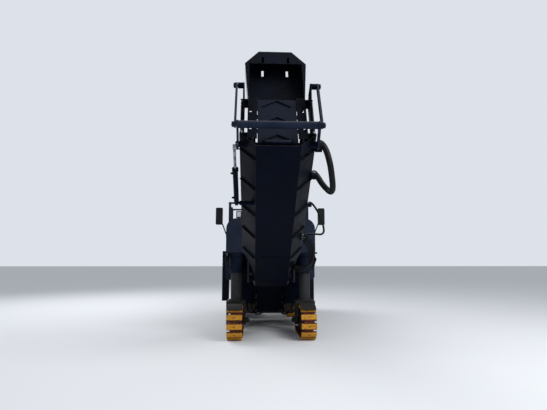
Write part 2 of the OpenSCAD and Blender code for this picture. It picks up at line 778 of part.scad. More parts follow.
module outer_belt() color(dark) outer_at() {
    side(-belt_x, belt_x) difference() {
        strap([-out_tail_s, out_t], [-out_head_s, out_t], out_r, out_r);
        strap([-out_tail_s, out_t], [-out_head_s, out_t], out_r - belt_t, out_r - belt_t);
    }
    for (i = [0 : 2]) {
        s = 182 + i * cleat_pitch;
        translate([0, -s, out_t - out_r]) mirror([0, 0, 1]) cleat(1);
        if (i < 2) translate([0, -s - cleat_pitch / 2, out_t + out_r]) cleat(-1);
    }
}

module outer_rollers() color(steel) outer_at() {
    for (s = [out_tail_s, out_head_s]) bar_x(-belt_x, belt_x, out_r - belt_t - gap, -s, out_t);
    // Shafts: the tail's between the pivot brackets, the head's between the side walls
    bar_x(-315 + gap, 315 - gap, 20, -out_tail_s, out_t);
    bar_x(-outer_x + 15 + gap, outer_x - 15 - gap, 20, -out_head_s, out_t);
}

module discharge_hood() color(navy) outer_at() {
    wall = 10;
    difference() {
        linear_extrude(hood_h) polygon([[-outer_x, -outer_len], [-hood_x, -hood_wide],
            [-hood_nose, -hood_end], [hood_nose, -hood_end], [hood_x, -hood_wide],
            [outer_x, -outer_len]]);
        translate([0, 0, wall]) linear_extrude(hood_h - 2 * wall) polygon([
            [-outer_x + wall, -outer_len + 1], [-hood_x + wall, -hood_wide],
            [-hood_nose + 4, -hood_end + wall], [hood_nose - 4, -hood_end + wall],
            [hood_x - wall, -hood_wide], [outer_x - wall, -outer_len + 1]]);
        box(-outer_x + wall, outer_x - wall, -hood_wide, -outer_len + 1, -1, wall + 1);
        both() box(172, 207, -1747, -1610, -1, hood_h + 1);
    }
}

module fold_rocker() color(steel) inner_at() difference() {
    union() {
        bar_x(-arm_x - 8, arm_x + 8, tube_r, -tube_u, tube_w);
        side(arm_x, arm_x + bar_t) strap([-rock_u, rock_w], [-tube_u, tube_w], 55, 55, 2);
        // The right arm has the horn for the fold cylinder
        side(-arm_x - bar_t, -arm_x) {
            strap([-rock_u, rock_w], [-tube_u, tube_w], 55, 55, 2);
            strap([-rock_u, rock_w], [-horn_u, horn_w], 42, 36, 2);
        }
        both() bar_x(arm_x + bar_t - 5, knob_x + 5, pin_r, -tube_u, tube_w);
        both() bar_x(knob_x, knob_x + 25, 36, -tube_u, tube_w);
    }
    both() bar_x(arm_x - 1, arm_x + bar_t + 1, 25 + gap, -rock_u, rock_w);
}

// Link bars from the cross tube to the outer part's brackets, drawn in the inner frame
module fold_links() color(steel) inner_at() {
    end_u = fold_u + link_s * cos(fold_rest) + link_t * sin(fold_rest);
    end_w = fold_w + link_s * sin(fold_rest) - link_t * cos(fold_rest);
    both() difference() {
        side(bar_x0, bar_x0 + bar_t) strap([-tube_u, tube_w], [-end_u, end_w], 45, 42);
        bar_x(bar_x0 - 1, bar_x0 + bar_t + 1, pin_r + 5, -tube_u, tube_w);
        bar_x(bar_x0 - 1, bar_x0 + bar_t + 1, pin_r + gap, -end_u, end_w);
    }
}

// Hydraulic cylinder along -y from its foot pin: tube with an eye
module barrel(x, foot_w, eye_r, tube_r, tube_len, bore_r, bore_from) difference() {
    union() {
        bar_x(x - foot_w / 2, x + foot_w / 2, eye_r);
        translate([x, 0, 0]) rotate([90, 0, 0]) cylinder(r = tube_r, h = tube_len);
        translate([x, -tube_len + 40, 0]) rotate([90, 0, 0]) cylinder(r = tube_r + 7, h = 40);
    }
    bar_x(x - foot_w / 2 - 60, x + foot_w / 2 + 60, pin_r + gap);
    translate([x, -bore_from, 0]) rotate([90, 0, 0]) cylinder(r = bore_r, h = tube_len);
}

module at_ram()
    inner_at() translate([0, -ram_u, ram_w]) rotate([-ram_turn, 0, 0]) children();

module fold_barrel() color(navy) at_ram() barrel(-ram_x, 40, 38, 35, 640, 18 + gap, 190);

// The rod's eye meets the horn face to face
module fold_rod() color(steel) at_ram() {
    translate([-ram_x, -380, 0]) rotate([90, 0, 0]) cylinder(r = 18, h = ram_len - 380 - 20);
    bar_x(-ram_x - 20, -ram_x + 20, 34, -ram_len, 0);
    bar_x(-ram_x + 19, -arm_x - bar_t, pin_r, -ram_len, 0);
}

module at_pull()
    translate([0, pull_y, pull_z]) rotate([-pull_turn, 0, 0]) children();

module lift_barrels() color(navy) at_pull()
    both() barrel(pull_x - 5, 46, 42, 34, 640, 22 + gap, 110);

module lift_rods() color(steel) at_pull() both() difference() {
    union() {
        translate([pull_x - 5, -230, 0]) rotate([90, 0, 0]) cylinder(r = 22, h = pull_len - 260);
        bar_x(pull_x - 28, pull_x + 18, 40, -pull_len, 0);
    }
    bar_x(pull_x - 60, pull_x + 60, pin_r + 6, -pull_len, 0);
}

module engine_block() color(dark) translate([0, bay_front + 170, deck_top])
    box(-engine_w / 2, engine_w / 2, 0, engine_len, 0, engine_h);

module engine_bay() color(panel) {
    x1 = deck_w / 2;
    both() difference() {
        box(x1 - skin_t, x1, bay_front, deck_rear, deck_top, bay_top);
        box(x1 - skin_t - 1, x1 + 1, door_y0, door_y1, deck_top + 70, bay_top - 60);
    }
    box(-x1 + 1, x1 - 1, bay_front, bay_front + skin_t, deck_top, bay_top);
    difference() {
        box(-x1 + 1, x1 - 1, deck_rear - skin_t, deck_rear, deck_top, bay_top);
        box(-600, 600, deck_rear - skin_t - 1, deck_rear + 1, deck_top + 70, bay_top - 70);
    }
    // Hinge pins of the hood and of the doors, on their feet
    both() bar_x(430, 670, 8, hood_axis_y, hood_axis_z);
    both() for (x = [430, 645]) box(x, x + 25, deck_rear - 1, hood_axis_y + 10,
        hood_axis_z - 50, hood_axis_z + 10);
    both() for (z = [deck_top + 120, bay_top - 180]) {
        box(x1 - 1, door_axis_x + 12, door_axis_y - 12, door_axis_y + 12, z - 14, z);
        translate([door_axis_x, door_axis_y, z]) cylinder(r = 6, h = 70);
    }
}

module cooler() color(dark)
    box(-cooler_w / 2, cooler_w / 2, deck_rear - 260, deck_rear - 140, deck_top, bay_top - 60);

module engine_hood() color(panel) {
    x1 = deck_w / 2;
    difference() {
        front(bay_front + 4, deck_rear - 4) polygon([[-x1, bay_top], [-x1, bay_top + 50],
            [-x1 + 150, hood_top], [x1 - 150, hood_top], [x1, bay_top + 50], [x1, bay_top]]);
        front(bay_front + 24, deck_rear - 24) polygon([[-x1 + 15, bay_top - 1],
            [-x1 + 15, bay_top + 44], [-x1 + 156, hood_top - 15], [x1 - 156, hood_top - 15],
            [x1 - 15, bay_top + 44], [x1 - 15, bay_top - 1]]);
    }
    both() difference() {
        union() {
            bar_x(470, 630, 14, hood_axis_y, hood_axis_z);
            box(470, 630, deck_rear - 10, hood_axis_y, hood_axis_z + 1, hood_axis_z + 13);
        }
        bar_x(469, 631, 8 + gap, hood_axis_y, hood_axis_z);
    }
}

// Exhaust pipe and the air cleaner's cap on the hood
module exhaust_pipe() color(steel) {
    translate([-330, 2560, hood_top]) cylinder(r = 95, h = 20);
    translate([-330, 2560, hood_top + 19]) cylinder(r = 62, h = 210);
    translate([330, 2560, hood_top]) cylinder(r = 70, h = 60);
    translate([330, 2560, hood_top + 59]) cylinder(r = 120, h = 90);
}

// Side door over its opening, on two hinge knuckles
module door() {
    x1 = deck_w / 2;
    difference() {
        union() {
            box(x1, x1 + 18, door_y0 - 14, door_y1 + 14, deck_top + 55, bay_top - 45);
            for (i = [0 : 7]) box(x1 + 17, x1 + 28, 2050, 2700, 1610 + i * 45, 1622 + i * 45);
            for (z = [deck_top + 120, bay_top - 180]) {
                translate([door_axis_x, door_axis_y, z + gap]) cylinder(r = 13, h = 60);
                box(x1 + 10, x1 + 18, door_axis_y, door_y0, z + gap, z + 60);
                box(x1 + 17, door_axis_x, door_axis_y, door_axis_y + 12, z + gap, z + 60);
            }
        }
        for (z = [deck_top + 119, bay_top - 181])
            translate([door_axis_x, door_axis_y, z]) cylinder(r = 6 + gap, h = 80);
        for (i = [0 : 7]) box(x1 - 1, x1 + 19, 2060, 2690, 1622 + i * 45, 1640 + i * 45);
    }
    box(x1 + 17, x1 + 34, door_y1 - 90, door_y1 - 60, 1700, 1840);
}

module door_left() color(panel) door();
module door_right() color(panel) mirror([1, 0, 0]) door();

module rear_grille() color(dark) {
    z0 = deck_top + 50;
    z1 = bay_top - 50;
    front(deck_rear, deck_rear + 14) difference() {
        translate([-640, z0]) square([1280, z1 - z0]);
        translate([-600, z0 + 30]) square([1200, z1 - z0 - 60]);
    }
    for (i = [1 : 12]) translate([0, deck_rear + 11, z0 + 20 + i * (z1 - z0 - 60) / 13])
        rotate([35, 0, 0]) box(-601, 601, -9, 9, -3, 3);
    for (x = [-200, 200]) box(x - 8, x + 8, deck_rear, deck_rear + 14, z0 + 20, z1 - 20);
}

module platform() color(dark) box(-plat_x, plat_x, plat_front, plat_rear, deck_top, plat_z);

module handrails() color(steel) {
    x1 = plat_x - 30;
    mid_z = (plat_z + rail_z) / 2;
    // columns: y of the two posts of a bay, y of the rail across
    for (q = [[plat_front + 270, plat_front + 35], [plat_rear - 330, plat_rear - 35]]) {
        for (z = [mid_z, rail_z]) {
            both() rod([x1, q[0], z], [x1, q[1], z], rail_r);
            rod([-x1, q[1], z], [x1, q[1], z], rail_r);
        }
        both() for (y = q) {
            rod([x1, y, plat_z], [x1, y, rail_z], rail_r);
            translate([x1, y, rail_z]) sphere(r = rail_r + 4);
            translate([x1, y, plat_z]) cylinder(r = rail_r + 18, h = 12);
        }
    }
}

module console() color(dark) {
    y0 = plat_front + 80;
    box(-240, 240, y0, y0 + 170, plat_z, 2250);
    side(-520, 520) polygon([[y0, 2250], [y0 + 290, 2250], [y0 + 310, 2290],
        [y0 + 90, 2430], [y0, 2430]]);
}

module rounded(w, d, r) {
    for (s = [-1, 1]) for (t = [-1, 1]) translate([s * (w / 2 - r), t * (d / 2 - r)]) circle(r);
    square([w - 2 * r, d], center = true);
    square([w, d - 2 * r], center = true);
}

module seats() color(dark) both() translate([420, 930, plat_z]) {
    cylinder(r = 110, h = 14);
    translate([0, 0, 14]) cylinder(r = 45, h = 276);
    translate([0, 0, 290]) linear_extrude(110) rounded(480, 440, 60);
    translate([0, 190, 395]) rotate([80, 0, 0]) translate([0, 260, -45])
        linear_extrude(90) rounded(460, 520, 80);
}

module access_steps() color(dark) both() {
    y0 = plat_front + 310;
    y1 = plat_rear - 400;
    for (y = [y0, y1 - 15]) side(plat_x, plat_x + 125) polygon([[y, 500], [y + 15, 500],
        [y + 15, plat_z], [y, plat_z]]);
    for (z = [520, 790, 1060, 1330]) box(plat_x, plat_x + 125, y0 + 14, y1 - 14, z, z + 30);
}

module mirrors() color(dark) both() {
    y = -800;
    translate([mirror_x, y + 15, mirror_z]) rotate([90, 0, 0])
        linear_extrude(30) rounded(mirror_w, mirror_h, 22);
    translate([mirror_x, y + 60, mirror_z]) rotate([90, 0, 0]) cylinder(r = 16, h = 46);
    rod([mirror_x, y + 45, mirror_z], [tank_x + 13, y + 45, 1830], 11);
    box(tank_x, tank_x + 16, y, y + 90, 1780, 1880);
}

module work_lamps() color(dark) both() {
    translate([590, -850, tank_top]) cylinder(r = 12, h = 22);
    box(540, 640, -900, -810, tank_top + 20, tank_top + 140);
    box(700, 800, deck_rear, deck_rear + 45, bay_top - 170, bay_top - 70);
}

module leg_fl() at_leg(1, front_leg_y) leg();
module leg_fr() at_leg(-1, front_leg_y) leg();
module leg_rl() at_leg(1, rear_leg_y) leg();
module leg_rr() at_leg(-1, rear_leg_y) leg();
module bogie_fl() at_leg(1, front_leg_y) bogie();
module bogie_fr() at_leg(-1, front_leg_y) bogie();
module bogie_rl() at_leg(1, rear_leg_y) bogie();
module bogie_rr() at_leg(-1, rear_leg_y) bogie();
module track_fl() at_leg(1, front_leg_y) track();
module track_fr() at_leg(-1, front_leg_y) track();
module track_rl() at_leg(1, rear_leg_y) track();
module track_rr() at_leg(-1, rear_leg_y) track();

main_frame();
deck_plate();
lifting_eyes();
leg_guides();
front_tank();
side_tanks();
counterweight();
drum_housing();
milling_drum();
side_plate_left();
side_plate_right();
rear_scraper();
primary_conveyor();
slew_yoke();
lift_barrels();
lift_rods();
inner_hull();
inner_belt();
inner_rollers();
conveyor_hoses();
outer_frame();
outer_hoses();
outer_belt();
outer_rollers();
discharge_hood();
fold_rocker();
fold_links();
fold_barrel();
fold_rod();
engine_block();
cooler();
engine_bay();
engine_hood();
exhaust_pipe();
door_left();
door_right();
rear_grille();
platform();
handrails();
console();
seats();
access_steps();
mirrors();
work_lamps();
leg_fl();
leg_fr();
leg_rl();
leg_rr();
bogie_fl();
bogie_fr();
bogie_rl();
bogie_rr();
track_fl();
track_fr();
track_rl();
track_rr();
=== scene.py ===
# %% [markdown]
# This lesson dresses a compact cold planer, the machine that mills worn asphalt off a road and
# throws it forward over a folding conveyor. The imported CAD model gives every panel, track and
# pin its true place in metres. Blender adds finishes and small parts on top of it, so nothing
# here has to be fitted by eye.

# %% Load the machine
import json
import math

import bmesh
import bpy
from mathutils import Matrix, Vector


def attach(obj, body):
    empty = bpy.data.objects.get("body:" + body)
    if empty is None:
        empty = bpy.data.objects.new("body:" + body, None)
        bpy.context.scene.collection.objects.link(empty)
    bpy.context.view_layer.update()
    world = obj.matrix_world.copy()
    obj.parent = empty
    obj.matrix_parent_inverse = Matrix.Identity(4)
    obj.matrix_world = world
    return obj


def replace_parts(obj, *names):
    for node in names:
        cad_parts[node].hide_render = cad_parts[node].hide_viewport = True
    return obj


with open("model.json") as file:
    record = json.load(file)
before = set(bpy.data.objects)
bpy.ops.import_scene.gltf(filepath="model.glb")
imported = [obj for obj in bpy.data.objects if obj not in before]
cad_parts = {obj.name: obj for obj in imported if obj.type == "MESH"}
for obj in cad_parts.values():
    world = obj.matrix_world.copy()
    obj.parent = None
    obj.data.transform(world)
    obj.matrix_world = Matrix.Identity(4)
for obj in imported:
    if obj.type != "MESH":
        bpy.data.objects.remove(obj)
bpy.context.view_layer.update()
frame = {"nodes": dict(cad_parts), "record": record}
nodes = frame["nodes"]

# %% [markdown]
# The photograph was taken from a person's eye height, close in front of the machine, looking a
# little up. A 27 mm lens on a 36 mm wide sensor gives its spread. The camera stands slightly to
# the machine's right of the middle line and turns a little towards the machine's left.

# %% Camera
scene = bpy.context.scene
camera = bpy.data.objects.new("camera", bpy.data.cameras.new("camera"))
scene.collection.objects.link(camera)
scene.camera = camera
camera.data.lens = 27.05
camera.data.sensor_width = 36.0
camera.data.clip_end = 400.0
camera.location = (-0.29, -8.5, 1.30)
camera.rotation_euler = (math.radians(98.0), 0.0, math.radians(-2.58))
print("camera at", tuple(camera.location), "lens", camera.data.lens)

# %% [markdown]
# A pale floor and a pale sky make a plain studio. The sky lights the machine evenly, and two
# big soft lamps add shape: one high in front and one behind, as on an overcast morning. The
# camera sees a lighter sky than the one that gives the light and the gloss, through Light Path.

# %% Colours and nodes
def linear(code):
    """An sRGB hex colour as the linear RGBA that shaders expect."""
    parts = [int(code[i:i + 2], 16) / 255 for i in (1, 3, 5)]
    return [c / 12.92 if c < 0.04045 else ((c + 0.055) / 1.055) ** 2.4 for c in parts] + [1.0]


def plug(tree, node, inputs):
    """Links every socket that is given to its input of the node, and sets any other value."""
    for key, value in inputs.items():
        if isinstance(value, bpy.types.NodeSocket):
            tree.links.new(value, node.inputs[key])
        else:
            node.inputs[key].default_value = value


def add(tree, kind, inputs=None, **settings):
    """One node with its settings and links."""
    node = tree.nodes.new(kind)
    for key, value in settings.items():
        setattr(node, key, value)
    plug(tree, node, inputs or {})
    return node


def material(name):
    """A new material, its tree, its shader and the coordinates that its patterns follow."""
    mat = bpy.data.materials.new(name)
    mat.use_nodes = True
    tree = mat.node_tree
    where = add(tree, "ShaderNodeTexCoord").outputs["Object"]
    return mat, tree, tree.nodes["Principled BSDF"], where


def noise(tree, where, scale, detail, rough=0.5):
    """Soft noise from 0 to 1. scale is about the number of its blotches in a metre."""
    return add(tree, "ShaderNodeTexNoise", {"Vector": where, "Scale": scale, "Detail": detail,
               "Roughness": rough}).outputs[0]


def spread(tree, value, low, high, to_low=0.0, to_high=1.0):
    """A value stretched from one range to another, and held inside the second."""
    return add(tree, "ShaderNodeMapRange", {0: value, 1: low, 2: high, 3: to_low,
               4: to_high}).outputs[0]


def mixed(tree, share, one, other):
    """Two colours mixed, with share as the part of the second."""
    return add(tree, "ShaderNodeMix", {0: share, 6: one, 7: other},
               data_type="RGBA").outputs[2]


def times(tree, one, other):
    """The product of two values."""
    return add(tree, "ShaderNodeMath", {0: one, 1: other}, operation="MULTIPLY").outputs[0]


print("navy enamel is", [round(c, 3) for c in linear("#0a101c")])

# %% Studio
scene.view_settings.view_transform = "Standard"
sky = bpy.data.worlds.new("overcast")
sky.use_nodes = True
scene.world = sky
tree = sky.node_tree
tree.nodes.clear()
ray = add(tree, "ShaderNodeLightPath")
seen = add(tree, "ShaderNodeMath", {0: ray.outputs["Is Camera Ray"],
           1: ray.outputs["Is Transmission Ray"]}, operation="MAXIMUM")
glow = add(tree, "ShaderNodeBackground", {"Color": linear("#e8ecf2"), "Strength": 0.55})
view = add(tree, "ShaderNodeBackground", {"Color": linear("#dde2ea"), "Strength": 1.0})
both = add(tree, "ShaderNodeMixShader", {0: seen.outputs[0], 1: glow.outputs[0],
           2: view.outputs[0]})
add(tree, "ShaderNodeOutputWorld", {"Surface": both.outputs[0]})


def soft_lamp(name, place, aim, size, watts):
    """A square lamp that points from its place at its aim."""
    lamp = bpy.data.objects.new(name, bpy.data.lights.new(name, "AREA"))
    scene.collection.objects.link(lamp)
    lamp.location = place
    lamp.rotation_euler = (Vector(aim) - Vector(place)).to_track_quat("-Z", "Y").to_euler()
    lamp.data.size = size
    lamp.data.energy = watts


soft_lamp("key_lamp", (5.5, -7.0, 8.0), (0, -1.0, 1.5), 5.0, 620)
soft_lamp("rim_lamp", (-6.0, 5.5, 8.5), (0, 0.5, 1.5), 6.0, 520)

floor = bpy.data.objects.new("studio_floor", bpy.data.meshes.new("studio_floor"))
far = 150
floor.data.from_pydata([(-far, -far, 0), (far, -far, 0), (far, far, 0), (-far, far, 0)], [],
                       [(0, 1, 2, 3)])
scene.collection.objects.link(floor)
screed = bpy.data.materials.new("pale_screed")
screed.use_nodes = True
tree = screed.node_tree
speck = add(tree, "ShaderNodeTexNoise", {"Scale": 3.0, "Detail": 4.0})
tint = mixed(tree, speck.outputs[0], linear("#e9ecf0"), linear("#f3f5f7"))
plug(tree, tree.nodes["Principled BSDF"], {"Base Color": tint, "Roughness": 0.8})
floor.data.materials.append(screed)
print("studio has", len(bpy.data.lights), "lamps")

# %% [markdown]
# The body is welded steel plate, sprayed with enamel in the works and then left outdoors. Such
# paint has a faint orange peel, goes chalky in patches, holds grey road dust on whatever faces
# up, and is rubbed to bare, brown metal along its edges. The edge is found by comparing the
# true normal with one that the Bevel node has rounded: the two differ only near an edge.

# %% Sprayed enamel
def enamel(name, paint, chalk, rough=0.42, dust=0.4, shine=0.22):
    """Enamel over steel. chalk is its weathered colour, dust the share of road dust on it."""
    mat, tree, shader, where = material(name)
    normal = add(tree, "ShaderNodeNewGeometry").outputs["Normal"]
    round_edge = add(tree, "ShaderNodeBevel", {"Radius": 0.004}, samples=4).outputs[0]
    # chalky patches about 400 mm across, with a finer grain in them
    patch = noise(tree, where, 2.5, 7.0, 0.62)
    weather = spread(tree, patch, 0.38, 0.68)
    coat = mixed(tree, weather, linear(paint), linear(chalk))
    # dust lies on what faces up, and thins out in speckles 40 mm across
    up = add(tree, "ShaderNodeSeparateXYZ", {0: normal}).outputs["Z"]
    grain = noise(tree, where, 26.0, 6.0)
    lies = spread(tree, up, 0.25, 0.9, 0.0, dust * 1.6)
    dusty = mixed(tree, times(tree, lies, grain), coat, linear("#77746e"))
    # rain draws the dust down the walls in streaks 26 mm wide and half a metre long
    drawn = add(tree, "ShaderNodeMapping", {"Vector": where, "Scale": (1.0, 1.0, 0.05)})
    runs = spread(tree, noise(tree, drawn.outputs[0], 38.0, 4.0), 0.52, 0.78, 0.0, 0.18)
    streaked = mixed(tree, times(tree, runs, weather), dusty, linear("#22283a"))
    # where the rounded normal leaves the true one, the edge is rubbed bare in chips
    same = add(tree, "ShaderNodeVectorMath", {0: round_edge, 1: normal},
               operation="DOT_PRODUCT")
    rubbed = spread(tree, same.outputs["Value"], 0.985, 0.90)
    worn = times(tree, rubbed, spread(tree, grain, 0.46, 0.60))
    skin = mixed(tree, worn, streaked, linear("#4a4440"))
    gloss = spread(tree, patch, 0.3, 0.75, rough - 0.08, rough + 0.2)
    # orange peel: bumps 3 mm apart, drawn 8 mm apart so that they show
    bump = add(tree, "ShaderNodeBump", {"Height": noise(tree, where, 125.0, 2.0),
               "Strength": 0.06, "Distance": 0.002, "Normal": round_edge})
    # the specular tint dims the reflections and turns them blue: painted blue shade in the gloss
    plug(tree, shader, {"Base Color": skin, "Roughness": gloss, "Normal": bump.outputs[0],
         "IOR": 1.5, "Specular IOR Level": shine, "Specular Tint": linear("#8494c8")})
    return mat


# These enamel colours are the paints darkened further with painted shade, so that the machine is
# coloured as it looks in shade.
finish = {
    # frame, legs' guides and rear weight: navy, darkened to near black with painted shade
    "frame_paint": enamel("navy_frame_enamel", "#0a101c", "#111826", rough=0.5),
    # tanks, hood and doors: a lighter slate that shows the body's planes
    "body_paint": enamel("slate_body_enamel", "#1e242f", "#29303c", rough=0.45),
    # the discharge conveyor: the darkest navy, partly painted shade, with little dust on its steep
    # plates
    "conveyor_paint": enamel("navy_conveyor_enamel", "#04070f", "#080d1a", rough=0.4,
                             dust=0.1, shine=0.08),
    # the fold linkage: a greyer blue, so that it stands out before the belt
    "grey_paint": enamel("grey_linkage_enamel", "#1a2130", "#293142", rough=0.36, shine=0.16),
    # chassis parts and treads: flat black under the most dust
    "dark_paint": enamel("black_chassis_enamel", "#0e1012", "#1a1c20", rough=0.6, dust=0.6),
}
print("enamels:", [m.name for m in finish.values()])

# %% [markdown]
# Not all metal is painted. Cutting tools and edge plates are scoured by asphalt, so they are bare
# and brown grey. The legs are ground tubes, the cylinder rods are hard chrome, and the crawler
# frames are cast and caked with dirt. All are one recipe with other numbers: a metal under soil
# that lies where the noise is high, drawn out in streaks if the metal is rubbed one way.

# %% Bare metals
EVEN = (1.0, 1.0, 1.0)


def bare_metal(name, metal, soil, rough, share, streak=EVEN, metallic=1.0):
    """A metal surface under soil. share is how much of it the soil covers, from 0 to 1."""
    mat, tree, shader, where = material(name)
    drawn = add(tree, "ShaderNodeMapping", {"Vector": where, "Scale": streak})
    smear = noise(tree, drawn.outputs[0], 14.0, 8.0, 0.65)
    cover = spread(tree, smear, 0.62 - share * 0.35, 0.72 - share * 0.25)
    round_edge = add(tree, "ShaderNodeBevel", {"Radius": 0.003}, samples=4)
    bump = add(tree, "ShaderNodeBump", {"Height": smear, "Strength": 0.25 * share,
               "Distance": 0.004, "Normal": round_edge.outputs[0]})
    # soil is rough and doesn't shine like metal
    plug(tree, shader, {"Base Color": mixed(tree, cover, linear(metal), linear(soil)),
         "Roughness": spread(tree, cover, 0.0, 1.0, rough, 0.85),
         "Metallic": spread(tree, cover, 0.0, 1.0, metallic, 0.0), "Normal": bump.outputs[0]})
    return mat


for key, *recipe in (
        # drum and edge plates, scoured along their way through the asphalt
        ("worn_steel", "scoured_steel", "#6e6963", "#4a433c", 0.45, 0.5, (1.0, 0.25, 1.6)),
        # leg tubes, dark and oily, with marks round them from the guides
        ("leg_steel", "ground_leg_steel", "#3c3e42", "#1c1a18", 0.42, 0.6, (1.0, 1.0, 6.0)),
        # crawler frames, almost lost under dirt, and the rust red shoes between the pads
        ("crawler_steel", "caked_cast_steel", "#1e1c1b", "#1a1613", 0.6, 0.8, EVEN, 0.6),
        ("rusty_shoe", "rusty_track_shoes", "#6e2f20", "#3b2219", 0.7, 0.5, EVEN, 0.2),
        # small bright parts: mirrors, picks and the rods of the cylinders
        ("mirror_glass", "silvered_mirror_glass", "#cfd6dc", "#8b8f92", 0.03, 0.02),
        ("carbide", "carbide_pick_steel", "#7d7770", "#5b3b26", 0.35, 0.6),
        ("rod_chrome", "hard_chrome", "#8f949b", "#3c3a37", 0.2, 0.35),
        # the console's blank screen: black glass
        ("screen_glass", "dark_screen_glass", "#0a0d12", "#15181d", 0.08, 0.02, EVEN, 0.0)):
    finish[key] = bare_metal(*recipe)
print("metals:", [finish[k].name for k in ("worn_steel", "leg_steel", "crawler_steel")])

# %% [markdown]
# Belt, hoses, seat covers, mirror cases and track pads are rubber, vinyl and moulded plastic.
# They carry no metal and no bare edge, but all of them fade and collect dust. The pads are
# polyurethane, cast in one colour right through, and go brown where they meet the road.

# %% Rubber and plastic
def moulded(name, colour, faded, rough, grain_mm, share, dust="#4d4a46"):
    """Rubber or moulded plastic. grain_mm is its surface grain, share the part under dust."""
    mat, tree, shader, where = material(name)
    body = mixed(tree, noise(tree, where, 5.0, 6.0), linear(colour), linear(faded))
    lies = spread(tree, noise(tree, where, 22.0, 7.0, 0.7), 0.5, 0.72, 0.0, share)
    pores = add(tree, "ShaderNodeTexVoronoi", {"Vector": where, "Scale": 1000.0 / grain_mm})
    dent = add(tree, "ShaderNodeBump", {"Height": pores.outputs["Distance"], "Strength": 0.3,
               "Distance": grain_mm / 4000.0})
    # rubber and coarse plastic mirror less than a clear lens does
    plug(tree, shader, {"Base Color": mixed(tree, lies, body, linear(dust)),
         "Roughness": rough, "Specular IOR Level": 0.15 if rough >= 0.45 else 0.5,
         "IOR": 1.5, "Normal": dent.outputs[0]})
    return mat


for key, *recipe in (
        ("pad_plastic", "cast_polyurethane", "#bd8222", "#cb9230", 0.55, 9.0, 0.8, "#4e3822"),
        ("belt_rubber", "dusty_belt_rubber", "#0b111d", "#121a2a", 0.7, 6.0, 0.3, "#202938"),
        ("hose_rubber", "hydraulic_hose_rubber", "#0b0c0f", "#131519", 0.5, 4.0, 0.15, "#3b3a38"),
        ("seat_cover", "black_seat_vinyl", "#17181b", "#232428", 0.5, 5.0, 0.15),
        ("mirror_case", "black_moulded_nylon", "#121316", "#1d1f23", 0.45, 4.0, 0.15),
        ("red_lens", "red_lamp_lens", "#8e1512", "#a02018", 0.15, 8.0, 0.1),
        ("clear_lens", "clear_lamp_lens", "#b9c3cc", "#d8dfe6", 0.08, 12.0, 0.05),
        ("amber_lens", "amber_lamp_lens", "#b45f0c", "#c87416", 0.15, 8.0, 0.1)):
    finish[key] = moulded(*recipe)
print("rubber and plastic:", finish["pad_plastic"].name, finish["belt_rubber"].name)

# %% [markdown]
# Each CAD node names a material slot in its record. One loop gives every node the finish that
# its slot asks for, in place of the plain grey that it came with.

# %% Finishes on the nodes
slots = {part["node"]: part["material_slot"] for part in frame["record"]["subparts"]}
for name, node in nodes.items():
    node.data.materials.clear()
    node.data.materials.append(finish[slots[name]])
print("finished", len(slots), "nodes in", len(set(slots.values())), "finishes")

# %% [markdown]
# Small parts are built in bmesh: blocks with softened edges, round bars between two points and
# bolts. Hoses are curves with a round section. Whatever is made is then settled: it gets its
# finish and rides on a body of the machine, so that it goes along when a joint moves.

# %% Helpers for small parts
def moved(x, y, z):
    """A frame at a place, not turned."""
    return Matrix.Translation((x, y, z))


def turned(degrees, axis):
    """A frame turned about one axis."""
    return Matrix.Rotation(math.radians(degrees), 4, axis)


def at(frame_matrix, x, y, z):
    """A place given in a frame, as the machine's frame has it."""
    return frame_matrix @ Vector((x, y, z))


def block(bm, low, high, soft=0.003, turn=None):
    """A box between two corners with softened edges, turned by a matrix if one is given."""
    made = bmesh.ops.create_cube(bm, size=1.0)["verts"]
    size = [b - a for a, b in zip(low, high)]
    middle = [(a + b) / 2 for a, b in zip(low, high)]
    bmesh.ops.scale(bm, vec=size, verts=made)
    bmesh.ops.translate(bm, vec=middle, verts=made)
    edges = list({e for v in made for e in v.link_edges})
    if soft:
        made = bmesh.ops.bevel(bm, geom=edges, offset=soft, segments=2, profile=0.6,
                               affect="EDGES", clamp_overlap=True)["verts"]
    if turn:
        bmesh.ops.transform(bm, matrix=turn, verts=made)
    return made


def slab(bm, side, low, high, soft=0.003, turn=None):
    """A block of the machine's left, mirrored to its right where side is -1."""
    x0, x1 = sorted((side * low[0], side * high[0]))
    return block(bm, (x0, *low[1:]), (x1, *high[1:]), soft, turn)


def bar(bm, a, b, radius, sides=20, radius_b=None, soft=0.0):
    """A round bar or cone between two points, with its end edges softened."""
    a, b = Vector(a), Vector(b)
    turn = (b - a).to_track_quat("Z", "Y").to_matrix().to_4x4()
    spot = Matrix.Translation((a + b) / 2) @ turn
    made = bmesh.ops.create_cone(bm, cap_ends=True, segments=sides, radius1=radius,
                                 radius2=radius if radius_b is None else radius_b,
                                 depth=(b - a).length, matrix=spot)["verts"]
    if soft:
        rim = [e for e in {e for v in made for e in v.link_edges}
               if any(len(f.verts) > 4 for f in e.link_faces)]
        bmesh.ops.bevel(bm, geom=rim, offset=soft, segments=2, profile=0.6, affect="EDGES")


def bolt(bm, place, axis, size=0.012):
    """A washer, a six-sided head and a slight dome. size is the head's radius."""
    place, axis = Vector(place), Vector(axis).normalized()
    bar(bm, place, place + axis * size * 0.25, size * 1.5, 16)
    bar(bm, place + axis * size * 0.25, place + axis * size, size, 6, soft=size * 0.12)


def ring(count, first=0.0):
    """Cosine and sine of equal steps round a circle, from a first angle in degrees."""
    turns = [math.radians(first + 360 / count * k) for k in range(count)]
    return [(math.cos(turn), math.sin(turn)) for turn in turns]


def settle(name, data, key, body):
    """A mesh or curve as an object with its finish, riding on a body of the machine."""
    made = bpy.data.objects.new(name, data)
    scene.collection.objects.link(made)
    data.materials.append(finish[key])
    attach(made, body)
    return made


